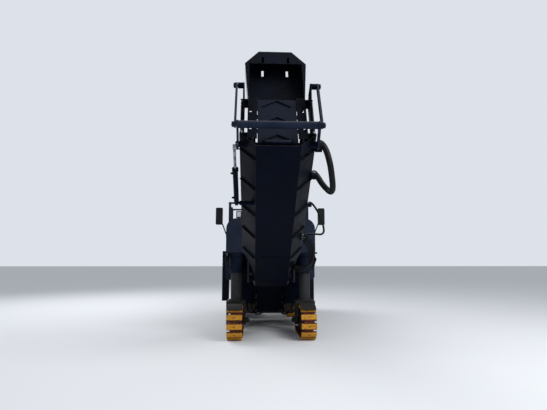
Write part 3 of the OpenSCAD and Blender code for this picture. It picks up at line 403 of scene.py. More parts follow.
def piece(name, bm, key, body="chassis"):
    """The bmesh as a settled mesh, smooth but for edges sharper than 35 degrees."""
    mesh = bpy.data.meshes.new(name)
    bm.to_mesh(mesh)
    bm.free()
    mesh.polygons.foreach_set("use_smooth", [True] * len(mesh.polygons))
    mesh.set_sharp_from_angle(angle=math.radians(35.0))
    return settle(name, mesh, key, body)


def hose(name, points, radius, body):
    """A rubber hose as a smooth curve with a round section, held at both ends."""
    curve = bpy.data.curves.new(name, "CURVE")
    curve.dimensions = "3D"
    curve.bevel_depth = radius
    curve.bevel_resolution = 3
    curve.resolution_u = 6
    curve.use_fill_caps = True
    line = curve.splines.new("BEZIER")
    line.bezier_points.add(len(points) - 1)
    for point, co in zip(line.bezier_points, points):
        point.co = co
        point.handle_left_type = point.handle_right_type = "AUTO"
    return settle(name, curve, "hose_rubber", body)


both_sides = ((1, "left"), (-1, "right"))
print("helpers ready")

# %% [markdown]
# A crawler runs on a steel chain. Each chain link carries a steel shoe, and a cast polyurethane
# pad is bolted on it so that the steel doesn't bite the road. The CAD track is one closed loop
# with the same outline, so the detailed one stands for it. The pad is flat, and its corners are
# pulled in to the loop's outer line where it goes round the end wheels.

# %% Crawler tracks
half_run, loop_r, chain_r, shoe_thick = 0.39, 0.275, 0.235, 0.011
pad_count, pad_long, shoe_long, pad_wide = 22, 0.088, 0.116, 0.130
pitch = (4 * half_run + 2 * math.pi * chain_r) / pad_count


def loop_place(s):
    """The frame of a shoe at a distance along the chain: x across, y along, z inward."""
    bend = math.pi * chain_r
    if s < 2 * half_run:
        y, turn = s - half_run, 0.0
    elif s < 2 * half_run + bend:
        y, turn = half_run, (s - 2 * half_run) / chain_r
    elif s < 4 * half_run + bend:
        y, turn = 3 * half_run + bend - s, math.pi
    else:
        y, turn = -half_run, math.pi + (s - 4 * half_run - bend) / chain_r
    return moved(0, y, loop_r) @ Matrix.Rotation(turn, 4, "X")


def pull_in(verts):
    """Keeps points inside the loop's outer line."""
    for v in verts:
        middle = max(-half_run, min(half_run, v.co.y))
        out = Vector((0, v.co.y - middle, v.co.z - loop_r))
        if out.length > loop_r:
            v.co = Vector((v.co.x, middle, loop_r)) + out * (loop_r / out.length)


def crawler(corner, x, y):
    """Pads, shoes, pad bolts and chain links round the loop of one crawler."""
    pads, chain = bmesh.new(), bmesh.new()
    pad_half, shoe_half, shoe_face = pad_long / 2, shoe_long / 2, -chain_r - shoe_thick
    for i in range(pad_count):
        spot = loop_place((i + 0.5) * pitch)
        pull_in(block(pads, (-pad_wide, -pad_half + 0.002, -loop_r),
                      (pad_wide, pad_half - 0.002, shoe_face), 0.007, spot))
        block(chain, (-pad_wide + 0.003, -shoe_half, shoe_face),
              (pad_wide - 0.003, shoe_half, -chain_r), 0.002, spot)
        # one bolt in the middle of each pad, its head flush with the face
        bar(chain, at(spot, 0, 0, -loop_r + 0.006), at(spot, 0, 0, -loop_r + 0.0005), 0.012, 10)
        for link_x in (-0.055, 0.055):
            block(chain, (link_x - 0.012, -pitch * 0.56, -chain_r),
                  (link_x + 0.012, pitch * 0.56, -chain_r + 0.028), 0.004, spot)
        bar(chain, at(spot, -0.074, pitch / 2, -chain_r + 0.014),
            at(spot, 0.074, pitch / 2, -chain_r + 0.014), 0.011, 10)
    place = moved(x, y, 0)
    bmesh.ops.transform(pads, matrix=place, verts=pads.verts)
    bmesh.ops.transform(chain, matrix=place, verts=chain.verts)
    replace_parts(piece("pads_" + corner, pads, "pad_plastic", "crawler_" + corner),
                "track_" + corner)
    piece("chain_" + corner, chain, "rusty_shoe", "crawler_" + corner)


leg_places = {"fl": (0.625, -0.835), "fr": (-0.625, -0.835),
              "rl": (0.625, 2.165), "rr": (-0.625, 2.165)}
for corner, (x, y) in leg_places.items():
    crawler(corner, x, y)
print("crawlers have", pad_count, "pads", round(pitch * 1000), "mm apart")

# %% [markdown]
# The discharge conveyor has two parts that fold. Each has its own frame: x across, then along
# the part towards the discharge end, then up from the belt. Two small functions turn such a
# place into the machine's frame, so that bolts and flanges follow the slope of the hull.

# %% Conveyor frames
inner_foot, inner_slope = (0, -1.090, 1.030), 36.87
outer_foot, outer_slope = (0, -3.400, 2.790), 114.87
inner_frame = moved(*inner_foot) @ turned(-inner_slope, "X")
outer_frame = moved(*outer_foot) @ turned(-outer_slope, "X")


def inner(x, u, w):
    """A place on the inner conveyor, in the machine's frame."""
    return at(inner_frame, x, -u, w)


def outer(x, s, t):
    """A place on the outer conveyor, in the machine's frame."""
    return at(outer_frame, x, -s, t)


inner_up = inner_frame.to_3x3() @ Vector((0, 0, 1))
outer_up = outer_frame.to_3x3() @ Vector((0, 0, 1))
print("fold pin at", [round(v, 3) for v in inner(0, 2.904, 0.022)])

# %% [markdown]
# The hull is folded from plate. An angle runs along each upper edge, bolted every 150 mm, and
# holds a rubber skirt that keeps milled asphalt on the belt. Bolts stand beside the ribs of the
# sloping walls, and a row on each side holds the hatch under the tail.

# %% Hull flanges, skirts and bolts
edge, fast, skirt = bmesh.new(), bmesh.new(), bmesh.new()
edge_w, edge_bolts, hatch_bolts = 0.149, 14, 8
rib_places = (0.72, 1.24, 1.73, 2.25, 2.77)
for side in (-1, 1):
    slab(edge, side, (0.460, -2.730, 0.1405), (0.499, -0.600, edge_w), 0.002, inner_frame)
    slab(skirt, side, (0.270, -2.62, 0.085), (0.281, -0.30, 0.165), 0.002, inner_frame)
    for k in range(edge_bolts):
        bolt(fast, inner(side * 0.480, 0.66 + 0.15 * k, edge_w), inner_up, 0.009)
    # the sloping wall leans out by 39.6 degrees
    wall_out = inner_frame.to_3x3() @ Vector((side * 0.7706, 0, -0.6372))
    for u in rib_places:
        for k in (0.12, 0.5, 0.88):
            spot = inner(side * (0.285 + 0.215 * k), u + 0.035, -0.12 + 0.26 * k)
            bolt(fast, spot, wall_out, 0.008)
    for k in range(hatch_bolts):
        bolt(fast, inner(side * 0.178, 0.07 + 0.092 * k, -0.132), -inner_up, 0.008)
piece("hull_flanges", edge, "conveyor_paint", "inner_part")
piece("belt_skirts", skirt, "belt_rubber", "inner_part")
piece("hull_bolts", fast, "conveyor_paint", "inner_part")
print("hull edges bolted in", 2 * edge_bolts, "places")

# %% [markdown]
# The fold linkage carries the whole outer part, so its pins are thick and each one ends in a
# round plate with three bolts. The barrels of the cylinders end in a gland ring, and have two
# ports near their ends where the hydraulic pipes screw in.

# %% Linkage pins and cylinders
def pin_plate(name, key, body, pin, x):
    """Three bolts and a grease nipple on the flat end of a pin, on both sides."""
    bm = bmesh.new()
    for side in (-1, 1):
        face = Vector((side * x, pin.y, pin.z))
        for c, s in ring(3, 90):
            bolt(bm, face + Vector((0, c, s)) * 0.022, (side, 0, 0), 0.006)
        bar(bm, face, face + Vector((side * 0.010, 0, 0)), 0.005, 8)
    piece(name, bm, key, body)


def barrel_parts(name, body, foot, along, port, radius):
    """Gland ring at the barrel's mouth, and two ports with their unions."""
    bm = bmesh.new()
    gland_from, gland_to = 0.5985, 0.6405
    bar(bm, foot + along * gland_from, foot + along * gland_to, radius + 0.0085, 40, soft=0.002)
    for d in (0.105, 0.555):
        spot = foot + along * d
        for a, b, r, sides in ((-0.004, 0.016, 0.017, 6), (0.014, 0.030, 0.012, 14)):
            bar(bm, spot + port * (radius + a), spot + port * (radius + b), r, sides, soft=0.002)
    piece(name, bm, "conveyor_paint", body)


# where the pins lie, and how far out their ends are
link_pin, tube_pin = Vector((0, -3.217, 3.670)), inner(0, 3.154, 0.113)
rock_pin, rock_x, knob_x = inner(0, 2.896, 0.048), 0.544, 0.587
pin_plate("link_pin_bolts", "conveyor_paint", "outer_part", link_pin, knob_x)
pin_plate("tube_pin_bolts", "grey_paint", "rocker", tube_pin, knob_x)
pin_plate("rocker_pin_bolts", "conveyor_paint", "inner_part", rock_pin, rock_x)

pull, eye = Vector((0, -1.050, 1.330)), inner(0, 1.2, 0.19)
lift_way = (eye - pull).normalized()
over = Vector((1, 0, 0)).cross(lift_way).normalized()
over = over if over.z > 0 else -over
for side, label in both_sides:
    barrel_parts("lift_barrel_parts_" + label, "lift_tube",
                 Vector((side * 0.351, pull.y, pull.z)), lift_way, over, 0.034)
ram, horn = inner(0, 1.950, -0.070), inner(0, 2.941, -0.072)
barrel_parts("fold_barrel_parts", "fold_tube", Vector((-0.555, ram.y, ram.z)),
             (horn - ram).normalized(), Vector((-1, 0, 0)), 0.035)
print("pins, glands and ports done")

# %% [markdown]
# The underside of the outer part faces forward while it is folded up, so it is the most visible
# face of the machine. Its frame's floor is bolted on beside the belt. The hood is bolted to the
# outer frame and has a rolled lip on the two long edges of its mouth.

# %% Outer part and hood
fast, lip = bmesh.new(), bmesh.new()
floor_t, roof_t, mouth_s = 0.0, 0.260, 1.872
for side in (-1, 1):
    for k in range(8):
        bolt(fast, outer(side * 0.392, 0.21 + 0.085 * k, 0.130), outer_up, 0.006)
    for k in range(7):
        bolt(fast, outer(side * 0.385, 0.20 + 0.10 * k, floor_t), -outer_up, 0.007)
    for k in range(7):
        s = 0.93 + 0.10 * k
        # the hood widens by 55 mm over its length, and its bolts stay 22 mm from its edge
        x = 0.400 + 0.055 * (s - 0.870) / 0.730 - 0.022
        bolt(fast, outer(side * x, s, roof_t), outer_up, 0.007)
        bolt(fast, outer(side * x, s, floor_t), -outer_up, 0.007)
    for s in (0.36, 0.74):
        bolt(fast, outer(side * 0.462, s, 0.025), (side, 0, 0), 0.009)
for k in range(9):
    bolt(fast, outer(-0.34 + 0.085 * k, 0.895, roof_t), outer_up, 0.007)
for t in (0.252, 0.008):
    bar(lip, outer(-0.250, mouth_s, t), outer(0.250, mouth_s, t), 0.0055, 12)
piece("outer_bolts", fast, "conveyor_paint", "outer_part")
piece("hood_lip", lip, "conveyor_paint", "outer_part")
print("outer part bolted")

# %% [markdown]
# The CAD model has the hoses beside the conveyor. Their ends are crimped into bright ferrules,
# which sit on the fittings that hold them.

# %% Hose ends
ferrule = bmesh.new()
for t in (0.0, 0.046, 0.092):
    for x in (-0.4793, 0.4793):
        for s0, s1 in ((0.2003, 0.240), (0.7997, 0.760)):
            bar(ferrule, outer(x, s0, t), outer(x, s1, t), 0.0202, 20, soft=0.002)
piece("outer_hose_ferrules", ferrule, "rod_chrome", "outer_part")
ferrule = bmesh.new()
for x, u, r, tall in ((0.540, 2.790, 0.0450, 0.030), (0.530, 2.300, 0.0450, 0.030),
                      (0.520, 1.720, 0.0190, 0.022), (0.530, 0.900, 0.0190, 0.022)):
    bar(ferrule, inner(x, u, 0.1452), inner(x, u, 0.1452 + tall), r, 28, soft=0.002)
piece("inner_hose_ferrules", ferrule, "rod_chrome", "inner_part")
print("hose ends done")

# %% [markdown]
# A milling drum lives on its tools. Each holder is welded to the drum's shell on a helix and
# takes one round-shank pick. The pick's tip is carbide, brazed on a steel body with a wear
# washer below it. All are placed with the same angles and steps as the CAD holders.

# %% Picks
tips, washers = bmesh.new(), bmesh.new()
tool_count, shell_r, tip_r, drum_half = 30, 0.395, 0.490, 0.600
lean, step = 28, (drum_half - 0.030) / tool_count
reach = (tip_r - shell_r - 0.028) / math.cos(math.radians(lean))
for side in (-1, 1):
    for i in range(tool_count):
        seat = (moved(0, 0.665, 0.740) @ turned(i * 47 + (0 if side > 0 else 23), "X")
                @ moved(side * (0.015 + (i + 0.5) * step), 0, shell_r)
                @ moved(0, -0.010, 0.024) @ turned(lean, "X"))
        bar(washers, at(seat, 0, 0, reach - 0.044), at(seat, 0, 0, reach - 0.0365), 0.0225, 14)
        bar(tips, at(seat, 0, 0, reach - 0.020), at(seat, 0, 0, reach - 0.0005), 0.0098, 10,
            0.0045)
piece("pick_washers", washers, "worn_steel", "drum")
piece("pick_tips", tips, "carbide", "drum")
print(2 * tool_count, "picks")

# %% [markdown]
# The platform is sheet steel with a raised tread pattern: lozenges 32 mm long in rows that
# alternate in direction, pressed from below so that boots hold on it when it is wet.

# %% Tread plate
tread = bmesh.new()
deck_z, first_x, last_x, tread_step = 1.550, -0.83, 0.84, 0.060
row, y = 0, 0.185
while y < 1.310:
    x = first_x + (tread_step / 2 if row % 2 else 0.0)
    while x < last_x:
        slant = 45 if (row + round((x - first_x) / tread_step)) % 2 else -45
        spot = moved(x, y, deck_z) @ turned(slant, "Z")
        base = [tread.verts.new(spot @ Vector(c)) for c in
                ((-0.016, 0, 0), (0, -0.005, 0), (0.016, 0, 0), (0, 0.005, 0))]
        peak = tread.verts.new(at(spot, 0, 0, 0.0022))
        for k in range(4):
            tread.faces.new((base[k], base[(k + 1) % 4], peak))
        x += tread_step
    y += 0.030
    row += 1
piece("tread_pattern", tread, "dark_paint")
print("tread plate has", row, "rows")

# %% [markdown]
# The operator works from either side, so both ends of the console carry the same controls: a
# joystick, three turning knobs and a row of rocker switches, with a blank screen in the middle.

# %% Console
panel, knobs, glass = bmesh.new(), bmesh.new(), bmesh.new()
slope = moved(0, 0.440, 2.360) @ Matrix.Rotation(math.atan2(-0.140, 0.220), 4, "X")
face_z = 0.006


def stud(x, y, z, to_y, to_z, *section, **settings):
    """A round control that stands on the sloping panel."""
    bar(knobs, at(slope, x, y, z), at(slope, x, to_y, to_z), *section, **settings)


block(panel, (-0.500, -0.105, 0.0005), (0.500, 0.105, face_z), 0.002, slope)
block(panel, (-0.135, -0.085, 0.005), (0.135, 0.085, 0.022), 0.005, slope)
block(glass, (-0.118, -0.070, 0.0221), (0.118, 0.070, 0.0235), 0.0008, slope)
for side in (-1, 1):
    for k in range(5):
        x = side * (0.185 + 0.036 * k)
        block(knobs, (x - 0.012, 0.040, face_z), (x + 0.012, 0.072, 0.014), 0.002, slope)
    for k in range(3):
        stud(side * (0.20 + 0.06 * k), 0.0, face_z, 0.0, 0.020, 0.013, 18, 0.011, soft=0.002)
    # joystick: boot, stick and grip, leaning a little
    x = side * 0.430
    stud(x, -0.020, face_z, -0.020, 0.018, 0.034, 24, 0.024, soft=0.003)
    stud(x, -0.020, 0.016, -0.012, 0.085, 0.009, 14)
    stud(x, -0.012, 0.080, -0.004, 0.135, 0.019, 20, 0.022, soft=0.008)
piece("console_face", panel, "dark_paint")
piece("console_controls", knobs, "mirror_case")
piece("console_screen", glass, "screen_glass")
print("console dressed")

# %% [markdown]
# The front of the machine carries the water tank behind flat steel panels, with bolts round them.
# Lamps and mirrors have a rim that holds the glass. The rear lamps are red over amber.

# %% Tank front, lamps and mirrors
fast, rims, lens, red, glassy, amber = (bmesh.new() for i in range(6))
front_y, lamp_y, tail_y = -0.980, -0.8995, 3.3455
mirror_x, mirror_y, mirror_z = 0.960, -0.7995, 2.165
for side in (-1, 1):
    for z in (1.60, 1.72, 1.84):
        bolt(fast, (side * 0.790, front_y, z), (0, -1, 0), 0.009)
    for x in (0.06, 0.25, 0.44, 0.58):
        for z in (2.070, 1.530):
            bolt(fast, (side * x, front_y, z), (0, -1, 0), 0.008)
    # front lamp: four sides of its rim round the lens
    for x0, x1, z0, z1 in ((0.540, 0.640, 2.130, 2.142), (0.540, 0.640, 2.238, 2.250),
                           (0.540, 0.552, 2.130, 2.250), (0.628, 0.640, 2.130, 2.250)):
        slab(rims, side, (x0, -0.912, z0), (x1, lamp_y, z1), 0.002)
    slab(lens, side, (0.552, -0.906, 2.142), (0.628, -0.9005, 2.238), 0.004)
    slab(red, side, (0.706, tail_y, 1.938), (0.794, 3.357, 1.974), 0.004)
    slab(amber, side, (0.706, tail_y, 1.886), (0.794, 3.357, 1.930), 0.004)
    # mirror glass faces the operator behind it, in a rim of the case's plastic
    middle = side * mirror_x
    block(glassy, (middle - 0.054, mirror_y, mirror_z - 0.148),
          (middle + 0.054, -0.7965, mirror_z + 0.148), 0.0014)
    for x0, x1, z0, z1 in ((-0.060, 0.060, 0.149, 0.155), (-0.060, 0.060, -0.155, -0.149),
                           (-0.061, -0.055, -0.155, 0.155), (0.055, 0.061, -0.155, 0.155)):
        block(rims, (middle + x0, mirror_y, mirror_z + z0),
              (middle + x1, -0.793, mirror_z + z1), 0.0015)
piece("front_bolts", fast, "body_paint")
piece("lamp_and_mirror_rims", rims, "mirror_case")
piece("front_lamp_lenses", lens, "clear_lens")
piece("tail_lamp_lenses", red, "red_lens")
piece("turn_lamp_lenses", amber, "amber_lens")
piece("mirror_glasses", glassy, "mirror_glass")
print("front dressed")

# %% [markdown]
# Each leg is a ground tube that slides in a guide. A ring with a wiper seal closes the guide at
# the bottom, held by eight bolts, and a cover closes its top. Grease is pumped in through two
# nipples. The crawler's motor sits on the inside of its fork, with two hose unions.

# %% Leg guides and crawler frames
rings = bmesh.new()
ring_z, cover_z, nipple_z = 1.120, 1.930, 1.20
for x, y in leg_places.values():
    out = 1 if x > 0 else -1
    for c, s in ring(8, 22.5):
        bolt(rings, (x + 0.117 * c, y + 0.117 * s, ring_z), (0, 0, -1), 0.0075)
    for c, s in ring(10):
        bolt(rings, (x + 0.112 * c, y + 0.112 * s, cover_z), (0, 0, 1), 0.007)
    bar(rings, (x, y - 0.129, nipple_z), (x, y - 0.142, nipple_z), 0.006, 8)
    bar(rings, (x + out * 0.129, y, nipple_z), (x + out * 0.142, y, nipple_z), 0.006, 8)
piece("guide_bolts", rings, "frame_paint")
cheek_x, wheel_x = 0.168, 0.090
for corner, (x, y) in leg_places.items():
    hubs = bmesh.new()
    out = 1 if x > 0 else -1
    for side in (-1, 1):
        # bolts on the fork's cheeks and nuts of the end wheels' axles
        for c, s in ring(6):
            bolt(hubs, (x + side * cheek_x, y + 0.064 * c, loop_r + 0.064 * s),
                 (side, 0, 0), 0.0075)
        for end in (-half_run, half_run):
            for c, s in ring(5, 90):
                bolt(hubs, (x + side * wheel_x, y + end + 0.066 * c, loop_r + 0.066 * s),
                     (side, 0, 0), 0.007)
    # travel motor's cover on the inside cheek, with its two hose unions
    inside = x - out * cheek_x
    for a, b, r, sides, soft in ((0.0, 0.060, 0.045, 32, 0.004), (0.058, 0.078, 0.030, 24, 0.003)):
        bar(hubs, (inside - out * a, y, loop_r), (inside - out * b, y, loop_r), r, sides,
            soft=soft)
    for dy in (-0.022, 0.022):
        bar(hubs, (inside - out * 0.035, y + dy, 0.315), (inside - out * 0.035, y + dy, 0.345),
            0.011, 6)
    piece("crawler_fixings_" + corner, hubs, "crawler_steel", "crawler_" + corner)
print("legs and crawlers fixed")

# %% [markdown]
# The side plates are the drum housing's moving walls. They slide on the road, so each has a wear
# skid with plugs through it, and two stiffeners. The scraper behind the drum carries a row of
# bolted blades.

# %% Side plates and scraper
plate_x, skid_x = 0.6702, 0.6845
for side, label in both_sides:
    bm = bmesh.new()
    for k in range(9):
        y = 0.10 + 0.1425 * k
        bar(bm, (side * skid_x, y, 0.135), (side * 0.6865, y, 0.135), 0.011, 16)
    for y, z in ((0.02, 0.62), (0.40, 0.64), (0.93, 0.64), (1.28, 0.62), (0.02, 0.30),
                 (1.32, 0.30)):
        bolt(bm, (side * 0.670, y, z), (side, 0, 0), 0.014)
    for y0, y1 in ((0.30, 0.33), (1.00, 1.03)):
        slab(bm, side, (plate_x, y0, 0.23), (0.682, y1, 0.60), 0.003)
    piece("plate_wear_parts_" + label, bm, "worn_steel", "plate_" + label)
bm = bmesh.new()
for k in range(12):
    bolt(bm, (-0.5775 + 0.105 * k, 1.2953, 0.170), (0, 1, 0), 0.009)
piece("scraper_bolts", bm, "worn_steel", "scraper")
print("side plates and scraper dressed")

# %% [markdown]
# The rear is the engine's end. Fine wire mesh lies behind the slats to keep dust out of the
# cooler. The doors have latches with a recessed grip, the hood has two rubber latches and a
# lifting grip a side, and the exhaust pipe has a rain flap.

# %% Engine bay, doors and hood
mesh_wire = bmesh.new()
wire_r = 0.0012
for k in range(41):
    x = -0.590 + 0.0295 * k
    bar(mesh_wire, (x, 3.288, 1.555), (x, 3.288, 1.985), wire_r, 4)
for k in range(16):
    z = 1.560 + 0.0283 * k
    bar(mesh_wire, (-0.595, 3.2905, z), (0.595, 3.2905, z), wire_r, 4)
piece("cooler_mesh", mesh_wire, "rod_chrome")
door_x = 0.868
for side, label in both_sides:
    bm = bmesh.new()
    for z in (1.62, 1.96):
        for y in (1.66, 1.90, 2.78):
            bolt(bm, (side * door_x, y, z), (side, 0, 0), 0.006)
    # two ribs beside the grip, and its lock
    for y0, y1 in ((2.755, 2.765), (2.805, 2.815)):
        slab(bm, side, (door_x, y0, 1.68), (0.876, y1, 1.86), 0.002)
    bar(bm, (side * door_x, 2.735, 1.77), (side * 0.878, 2.735, 1.77), 0.014, 20, soft=0.002)
    piece("door_fittings_" + label, bm, "body_paint", "service_" + label)
bm = bmesh.new()
grip_x, roof_z, grip_z = 0.55, 2.210, 2.250
for side in (-1, 1):
    for y in (1.70, 2.95):
        slab(bm, side, (0.8502, y - 0.022, 2.055), (0.860, y + 0.022, 2.092), 0.004)
    for y in (1.50, 1.66):
        bar(bm, (side * grip_x, y, roof_z), (side * grip_x, y, grip_z), 0.008, 12)
    bar(bm, (side * grip_x, 1.492, grip_z), (side * grip_x, 1.668, grip_z), 0.008, 12,
        soft=0.003)
piece("hood_latches", bm, "mirror_case", "hood")
bm = bmesh.new()
pipe_x, pipe_y, flap_z = 0.330, 2.560, 2.440
bar(bm, (-pipe_x, pipe_y, flap_z - 0.0005), (-pipe_x, pipe_y, flap_z + 0.0045), 0.066, 32,
    soft=0.0015)
bar(bm, (-0.395, 2.520, flap_z), (-0.395, 2.600, flap_z), 0.006, 12)
for c, s in ring(6, 30):
    bolt(bm, (-pipe_x + 0.080 * c, pipe_y + 0.080 * s, 2.230), (0, 0, 1), 0.007)
# fins round the air intake on the other side
for k in range(24):
    spot = moved(pipe_x, pipe_y, 2.2695) @ turned(15 * k, "Z")
    block(bm, (0.1195, -0.004, 0.012), (0.1235, 0.004, 0.078), 0.001, spot)
piece("exhaust_fittings", bm, "leg_steel", "hood")
print("engine bay dressed")

# %% [markdown]
# Handrails are held at their feet with two bolts each. The steps have three rows of punched
# teeth on each tread, and three big bolts a side hold the rear weight.

# %% Rails, steps and rear weight
bm = bmesh.new()
for side in (-1, 1):
    for y in (0.430, 0.195, 1.000, 1.295):
        for dx in (-0.028, 0.028):
            bolt(bm, (side * 0.830 + dx, y, 1.562), (0, 0, 1), 0.005)
piece("rail_bolts", bm, "grey_paint")
bm = bmesh.new()
for side in (-1, 1):
    for z in (0.550, 0.820, 1.090, 1.360):
        for k in range(18):
            y = 0.500 + 0.0235 * k
            for x in (0.885, 0.925, 0.965):
                bar(bm, (side * x, y, z), (side * x, y, z + 0.004), 0.006, 8, 0.004)
piece("step_teeth", bm, "dark_paint")
bm = bmesh.new()
for side in (-1, 1):
    for z in (0.98, 1.20, 1.40):
        bolt(bm, (side * 0.80, 3.440, z), (side, 0, 0), 0.018)
piece("weight_bolts", bm, "frame_paint")
print("rails, steps and weight dressed")

# %% [markdown]
# The two seats are upholstered: a foam pad under stretched vinyl. The pad's shape is found with a
# short cloth simulation, in which a closed skin is blown up a little while its base plate holds
# it. The blown skin is kept as a mesh, and channels are pressed in where the vinyl is quilted.

# %% Seats
def pad_shape(wide, deep, thick, corner):
    """A closed pad with round corners, its middle at the origin and its base at z = 0."""
    bm = bmesh.new()
    rim = []
    for k, (cx, cy) in enumerate(((1, 1), (-1, 1), (-1, -1), (1, -1))):
        for j in range(7):
            turn = math.radians(90 * k + 15 * j)
            rim.append((cx * (wide / 2 - corner) + corner * math.cos(turn),
                        cy * (deep / 2 - corner) + corner * math.sin(turn)))
    low_ring = [bm.verts.new((a, b, 0.0)) for a, b in rim]
    high_ring = [bm.verts.new((a, b, thick)) for a, b in rim]
    bm.faces.new(list(reversed(low_ring)))
    bm.faces.new(high_ring)
    for j in range(len(rim)):
        k = (j + 1) % len(rim)
        bm.faces.new((low_ring[j], low_ring[k], high_ring[k], high_ring[j]))
    mesh = bpy.data.meshes.new("pad_shape")
    bm.to_mesh(mesh)
    bm.free()
    return mesh


pad_voxel, swell_cap, swell_frames, channel_deep = 0.010, 0.014, 20, 0.009


def swell(mesh, channels):
    """Blows a pad up with cloth pressure and presses channels across it at some y places."""
    body = bpy.data.objects.new("pad_form", mesh)
    scene.collection.objects.link(body)
    grid = body.modifiers.new("grid", "REMESH")
    grid.mode, grid.voxel_size = "VOXEL", pad_voxel
    graph = bpy.context.evaluated_depsgraph_get()
    even = bpy.data.meshes.new_from_object(body.evaluated_get(graph))
    body.modifiers.clear()
    body.data = even
    rest = [v.co.copy() for v in even.vertices]
    hold = body.vertex_groups.new(name="base")
    hold.add([i for i, co in enumerate(rest) if co.z < 0.008], 1.0, "REPLACE")
    cloth = body.modifiers.new("vinyl", "CLOTH")
    cloth.settings.use_pressure = True
    cloth.settings.uniform_pressure_force = 4.0
    cloth.settings.vertex_group_mass = "base"
    cloth.settings.effector_weights.gravity = 0.0
    cloth.point_cache.frame_start, cloth.point_cache.frame_end = 1, swell_frames
    for number in range(1, swell_frames + 1):
        scene.frame_set(number)
    graph = bpy.context.evaluated_depsgraph_get()
    blown = bpy.data.meshes.new_from_object(body.evaluated_get(graph))
    for i, v in enumerate(blown.vertices):
        move = v.co - rest[i]
        if move.length >= swell_cap:
            move = move * (swell_cap / move.length)
        even.vertices[i].co = rest[i] + move
    body.modifiers.clear()
    bpy.data.meshes.remove(blown)
    scene.frame_set(1)
    top = max(v.co.z for v in even.vertices)
    for v in even.vertices:
        if v.co.z > top * 0.6:
            for line in channels:
                v.co.z -= channel_deep * math.exp(-((v.co.y - line) / 0.009) ** 2)
    bpy.data.objects.remove(body)
    return even


vinyl_top = swell(pad_shape(0.455, 0.415, 0.088, 0.055), (-0.07, 0.07))
vinyl_back = swell(pad_shape(0.435, 0.495, 0.068, 0.070), (-0.12, 0.0, 0.12))
frames = bmesh.new()
base_z, post_z, pan_z = 0.014, 0.285, 0.302
for side, label in both_sides:
    foot = moved(side * 0.420, 0.930, deck_z)
    # the back leans by 10 degrees from upright
    back_pan = foot @ moved(0, 0.190, 0.395) @ turned(80, "X") @ moved(0, 0, -0.034)
    for name, mesh, spot in (
            ("seat_cushion_", vinyl_top, foot @ moved(0, 0, pan_z)),
            ("seat_back_", vinyl_back, back_pan @ moved(0, 0.260, 0))):
        data = mesh.copy()
        data.transform(spot)
        data.polygons.foreach_set("use_smooth", [True] * len(data.polygons))
        pad = settle(name + label, data, "seat_cover", "chassis")
        finer = pad.modifiers.new("finer", "SUBSURF")
        finer.levels = finer.render_levels = 1
    # base plate, post with its collar, seat pan, and the bracket and strip that hold the back
    for z0, z1, r, sides, soft in ((0, base_z, 0.110, 48, 0.003), (base_z, post_z, 0.045, 32, 0),
                                   (base_z, 0.120, 0.058, 32, 0.004)):
        bar(frames, at(foot, 0, 0, z0), at(foot, 0, 0, z1), r, sides, soft=soft)
    block(frames, (-0.190, -0.170, post_z), (0.190, 0.170, pan_z), 0.004, foot)
    block(frames, (-0.025, 0.120, 0.286), (0.025, 0.245, 0.300), 0.003, foot)
    bar(frames, at(foot, 0, 0.238, 0.292), at(foot, 0, 0.262, 0.520), 0.014, 16)
    block(frames, (-0.180, 0.06, -0.012), (0.180, 0.46, 0.0), 0.003, back_pan)
    for c, s in ring(6):
        bolt(frames, at(foot, 0.092 * c, 0.092 * s, base_z), (0, 0, 1), 0.008)
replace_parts(piece("seat_frames", frames, "dark_paint"), "seats")
print("seats padded with", len(vinyl_top.polygons), "and", len(vinyl_back.polygons), "faces")

# %% [markdown]
# Hydraulic hoses feed the legs, the crawlers and the drum's gate. Three run at each leg from the
# deck down to the guide. Four slack ones hang below the primary conveyor and four more at the
# hull's tail, as they do in the photograph. All are held at both ends.

# %% Hoses under the deck and at the tail
fittings = bmesh.new()
leg_hose_top, leg_hose_r, gate_hose_r, tail_hose_r = 1.462, 0.0125, 0.014, 0.0135
for corner, (x, y) in leg_places.items():
    out = 1 if x > 0 else -1
    for k in range(3):
        dy = -0.060 - 0.045 * k if y < 0 else 0.055 + 0.045 * k
        top = Vector((x + out * (0.160 + 0.006 * k), y + dy, leg_hose_top))
        end = Vector((x + out * (0.118 - 0.016 * k), y + dy * 0.62, 1.165 + 0.05 * k))
        swing = Vector((out * (0.045 + 0.012 * k), dy * 0.18, 0))
        line = [top, top + Vector((out * 0.006, 0, -0.06)), (top + end) / 2 + swing,
                end + swing * 0.7 + Vector((0, 0, 0.02)), end]
        hose("leg_hose_%s_%d" % (corner, k), line, leg_hose_r, "chassis")
        bar(fittings, top + Vector((0, 0, 0.002)), top - Vector((0, 0, 0.028)), 0.0165, 6,
            soft=0.001)
for side, label in reversed(both_sides):
    for k in range(2):
        x = side * (0.10 + 0.09 * k) + 0.05
        line = [Vector((x + side * dx, y, z)) for dx, y, z in (
            (0.0, -0.020, 0.505 - 0.01 * k), (0.03, -0.075, 0.420),
            (0.14, -0.090, 0.290 + 0.03 * k), (0.26, -0.030, 0.330), (0.31, 0.055, 0.480))]
        hose("gate_hose_%s_%d" % (label, k), line, gate_hose_r, "chassis")
piece("hose_fittings", fittings, "rod_chrome")
unions = bmesh.new()
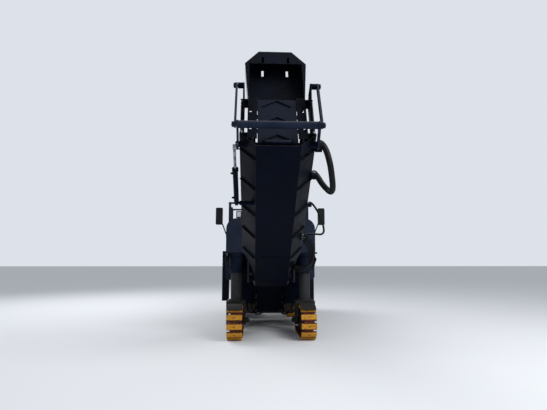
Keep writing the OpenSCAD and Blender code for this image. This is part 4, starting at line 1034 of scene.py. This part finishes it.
for k in range(4):
    # each hose lies 42 mm further up the hull than the one before, and 18 mm further out
    lag, out = 0.042 * k, 0.018 * k
    line = [inner(0.468, 0.95 + lag, 0.10), inner(0.530 + out, 0.94 + lag, 0.03),
            inner(0.600 + out, 0.80 + lag, -0.11), inner(0.575 + out, 0.62 + lag, -0.21),
            inner(0.455 + out, 0.46 + lag, -0.19), inner(0.372, 0.375 + lag, -0.07),
            inner(0.338 + 0.45 * lag, 0.36 + lag, -0.005)]
    hose("tail_hose_%d" % k, line, tail_hose_r, "inner_part")
    bar(unions, inner(0.466, 0.95 + lag, 0.101), inner(0.486, 0.948 + lag, 0.080), 0.018, 6,
        soft=0.001)
piece("tail_hose_unions", unions, "rod_chrome", "inner_part")
print("hoses hung")

# %% [markdown]
# A light roller guides the belt at the fold. Over it lies a sleeve of lighter grey paint:
# a painted highlight along the roller.

# %% Fold roller's painted highlight
highlight_sleeve = bmesh.new()
# the sleeve's lighter grey is a painted highlight, not a part of the roller
bar(highlight_sleeve, outer(-0.170, 0.030, -0.032), outer(0.170, 0.030, -0.032), 0.0246, 40, soft=0.001)
piece("fold_roller_sleeve", highlight_sleeve, "grey_paint", "outer_part")
print("fold roller sleeved")

# %% [markdown]
# The water tank in front and the fuel tank beside the drum have filler caps, inspection lids and
# drain plugs. Their lids are held by short rows of bolts, with a thin rubber seal below each.

# %% Lids, caps and plugs
lids, seals, plugs = bmesh.new(), bmesh.new(), bmesh.new()
tank_z, lid_z, lid_top, strap_x = 2.1102, 2.1130, 2.119, 0.854
for side in (-1, 1):
    middle = side * 0.300
    block(seals, (middle - 0.150, -0.560, tank_z), (middle + 0.150, -0.260, lid_z), 0.001)
    block(lids, (middle - 0.155, -0.565, lid_z), (middle + 0.155, -0.255, lid_top), 0.002)
    for x in (-0.135, 0.0, 0.135):
        for y in (-0.545, -0.275):
            bolt(plugs, (middle + x, y, lid_top), (0, 0, 1), 0.007)
    cap_x, cap_y = side * 0.520, -0.060
    bar(lids, (cap_x, cap_y, 2.110), (cap_x, cap_y, 2.138), 0.048, 40, soft=0.003)
    bar(plugs, (cap_x, cap_y, 2.138), (cap_x, cap_y, 2.160), 0.056, 12, soft=0.004)
    # fuel tank: straps over its face, drain plug below
    for y in (-0.300, 0.350, 1.200, 1.700):
        slab(lids, side, (0.8502, y - 0.022, 1.060), (strap_x, y + 0.022, 1.440), 0.001)
        for z in (1.100, 1.400):
            bolt(plugs, (side * strap_x, y, z), (side, 0, 0), 0.008)
    bar(plugs, (side * 0.775, 0.900, 0.980), (side * 0.775, 0.900, 0.966), 0.018, 6, soft=0.001)
piece("tank_lids", lids, "body_paint")
piece("tank_seals", seals, "belt_rubber")
piece("tank_plugs", plugs, "dark_paint")
print("tanks dressed")
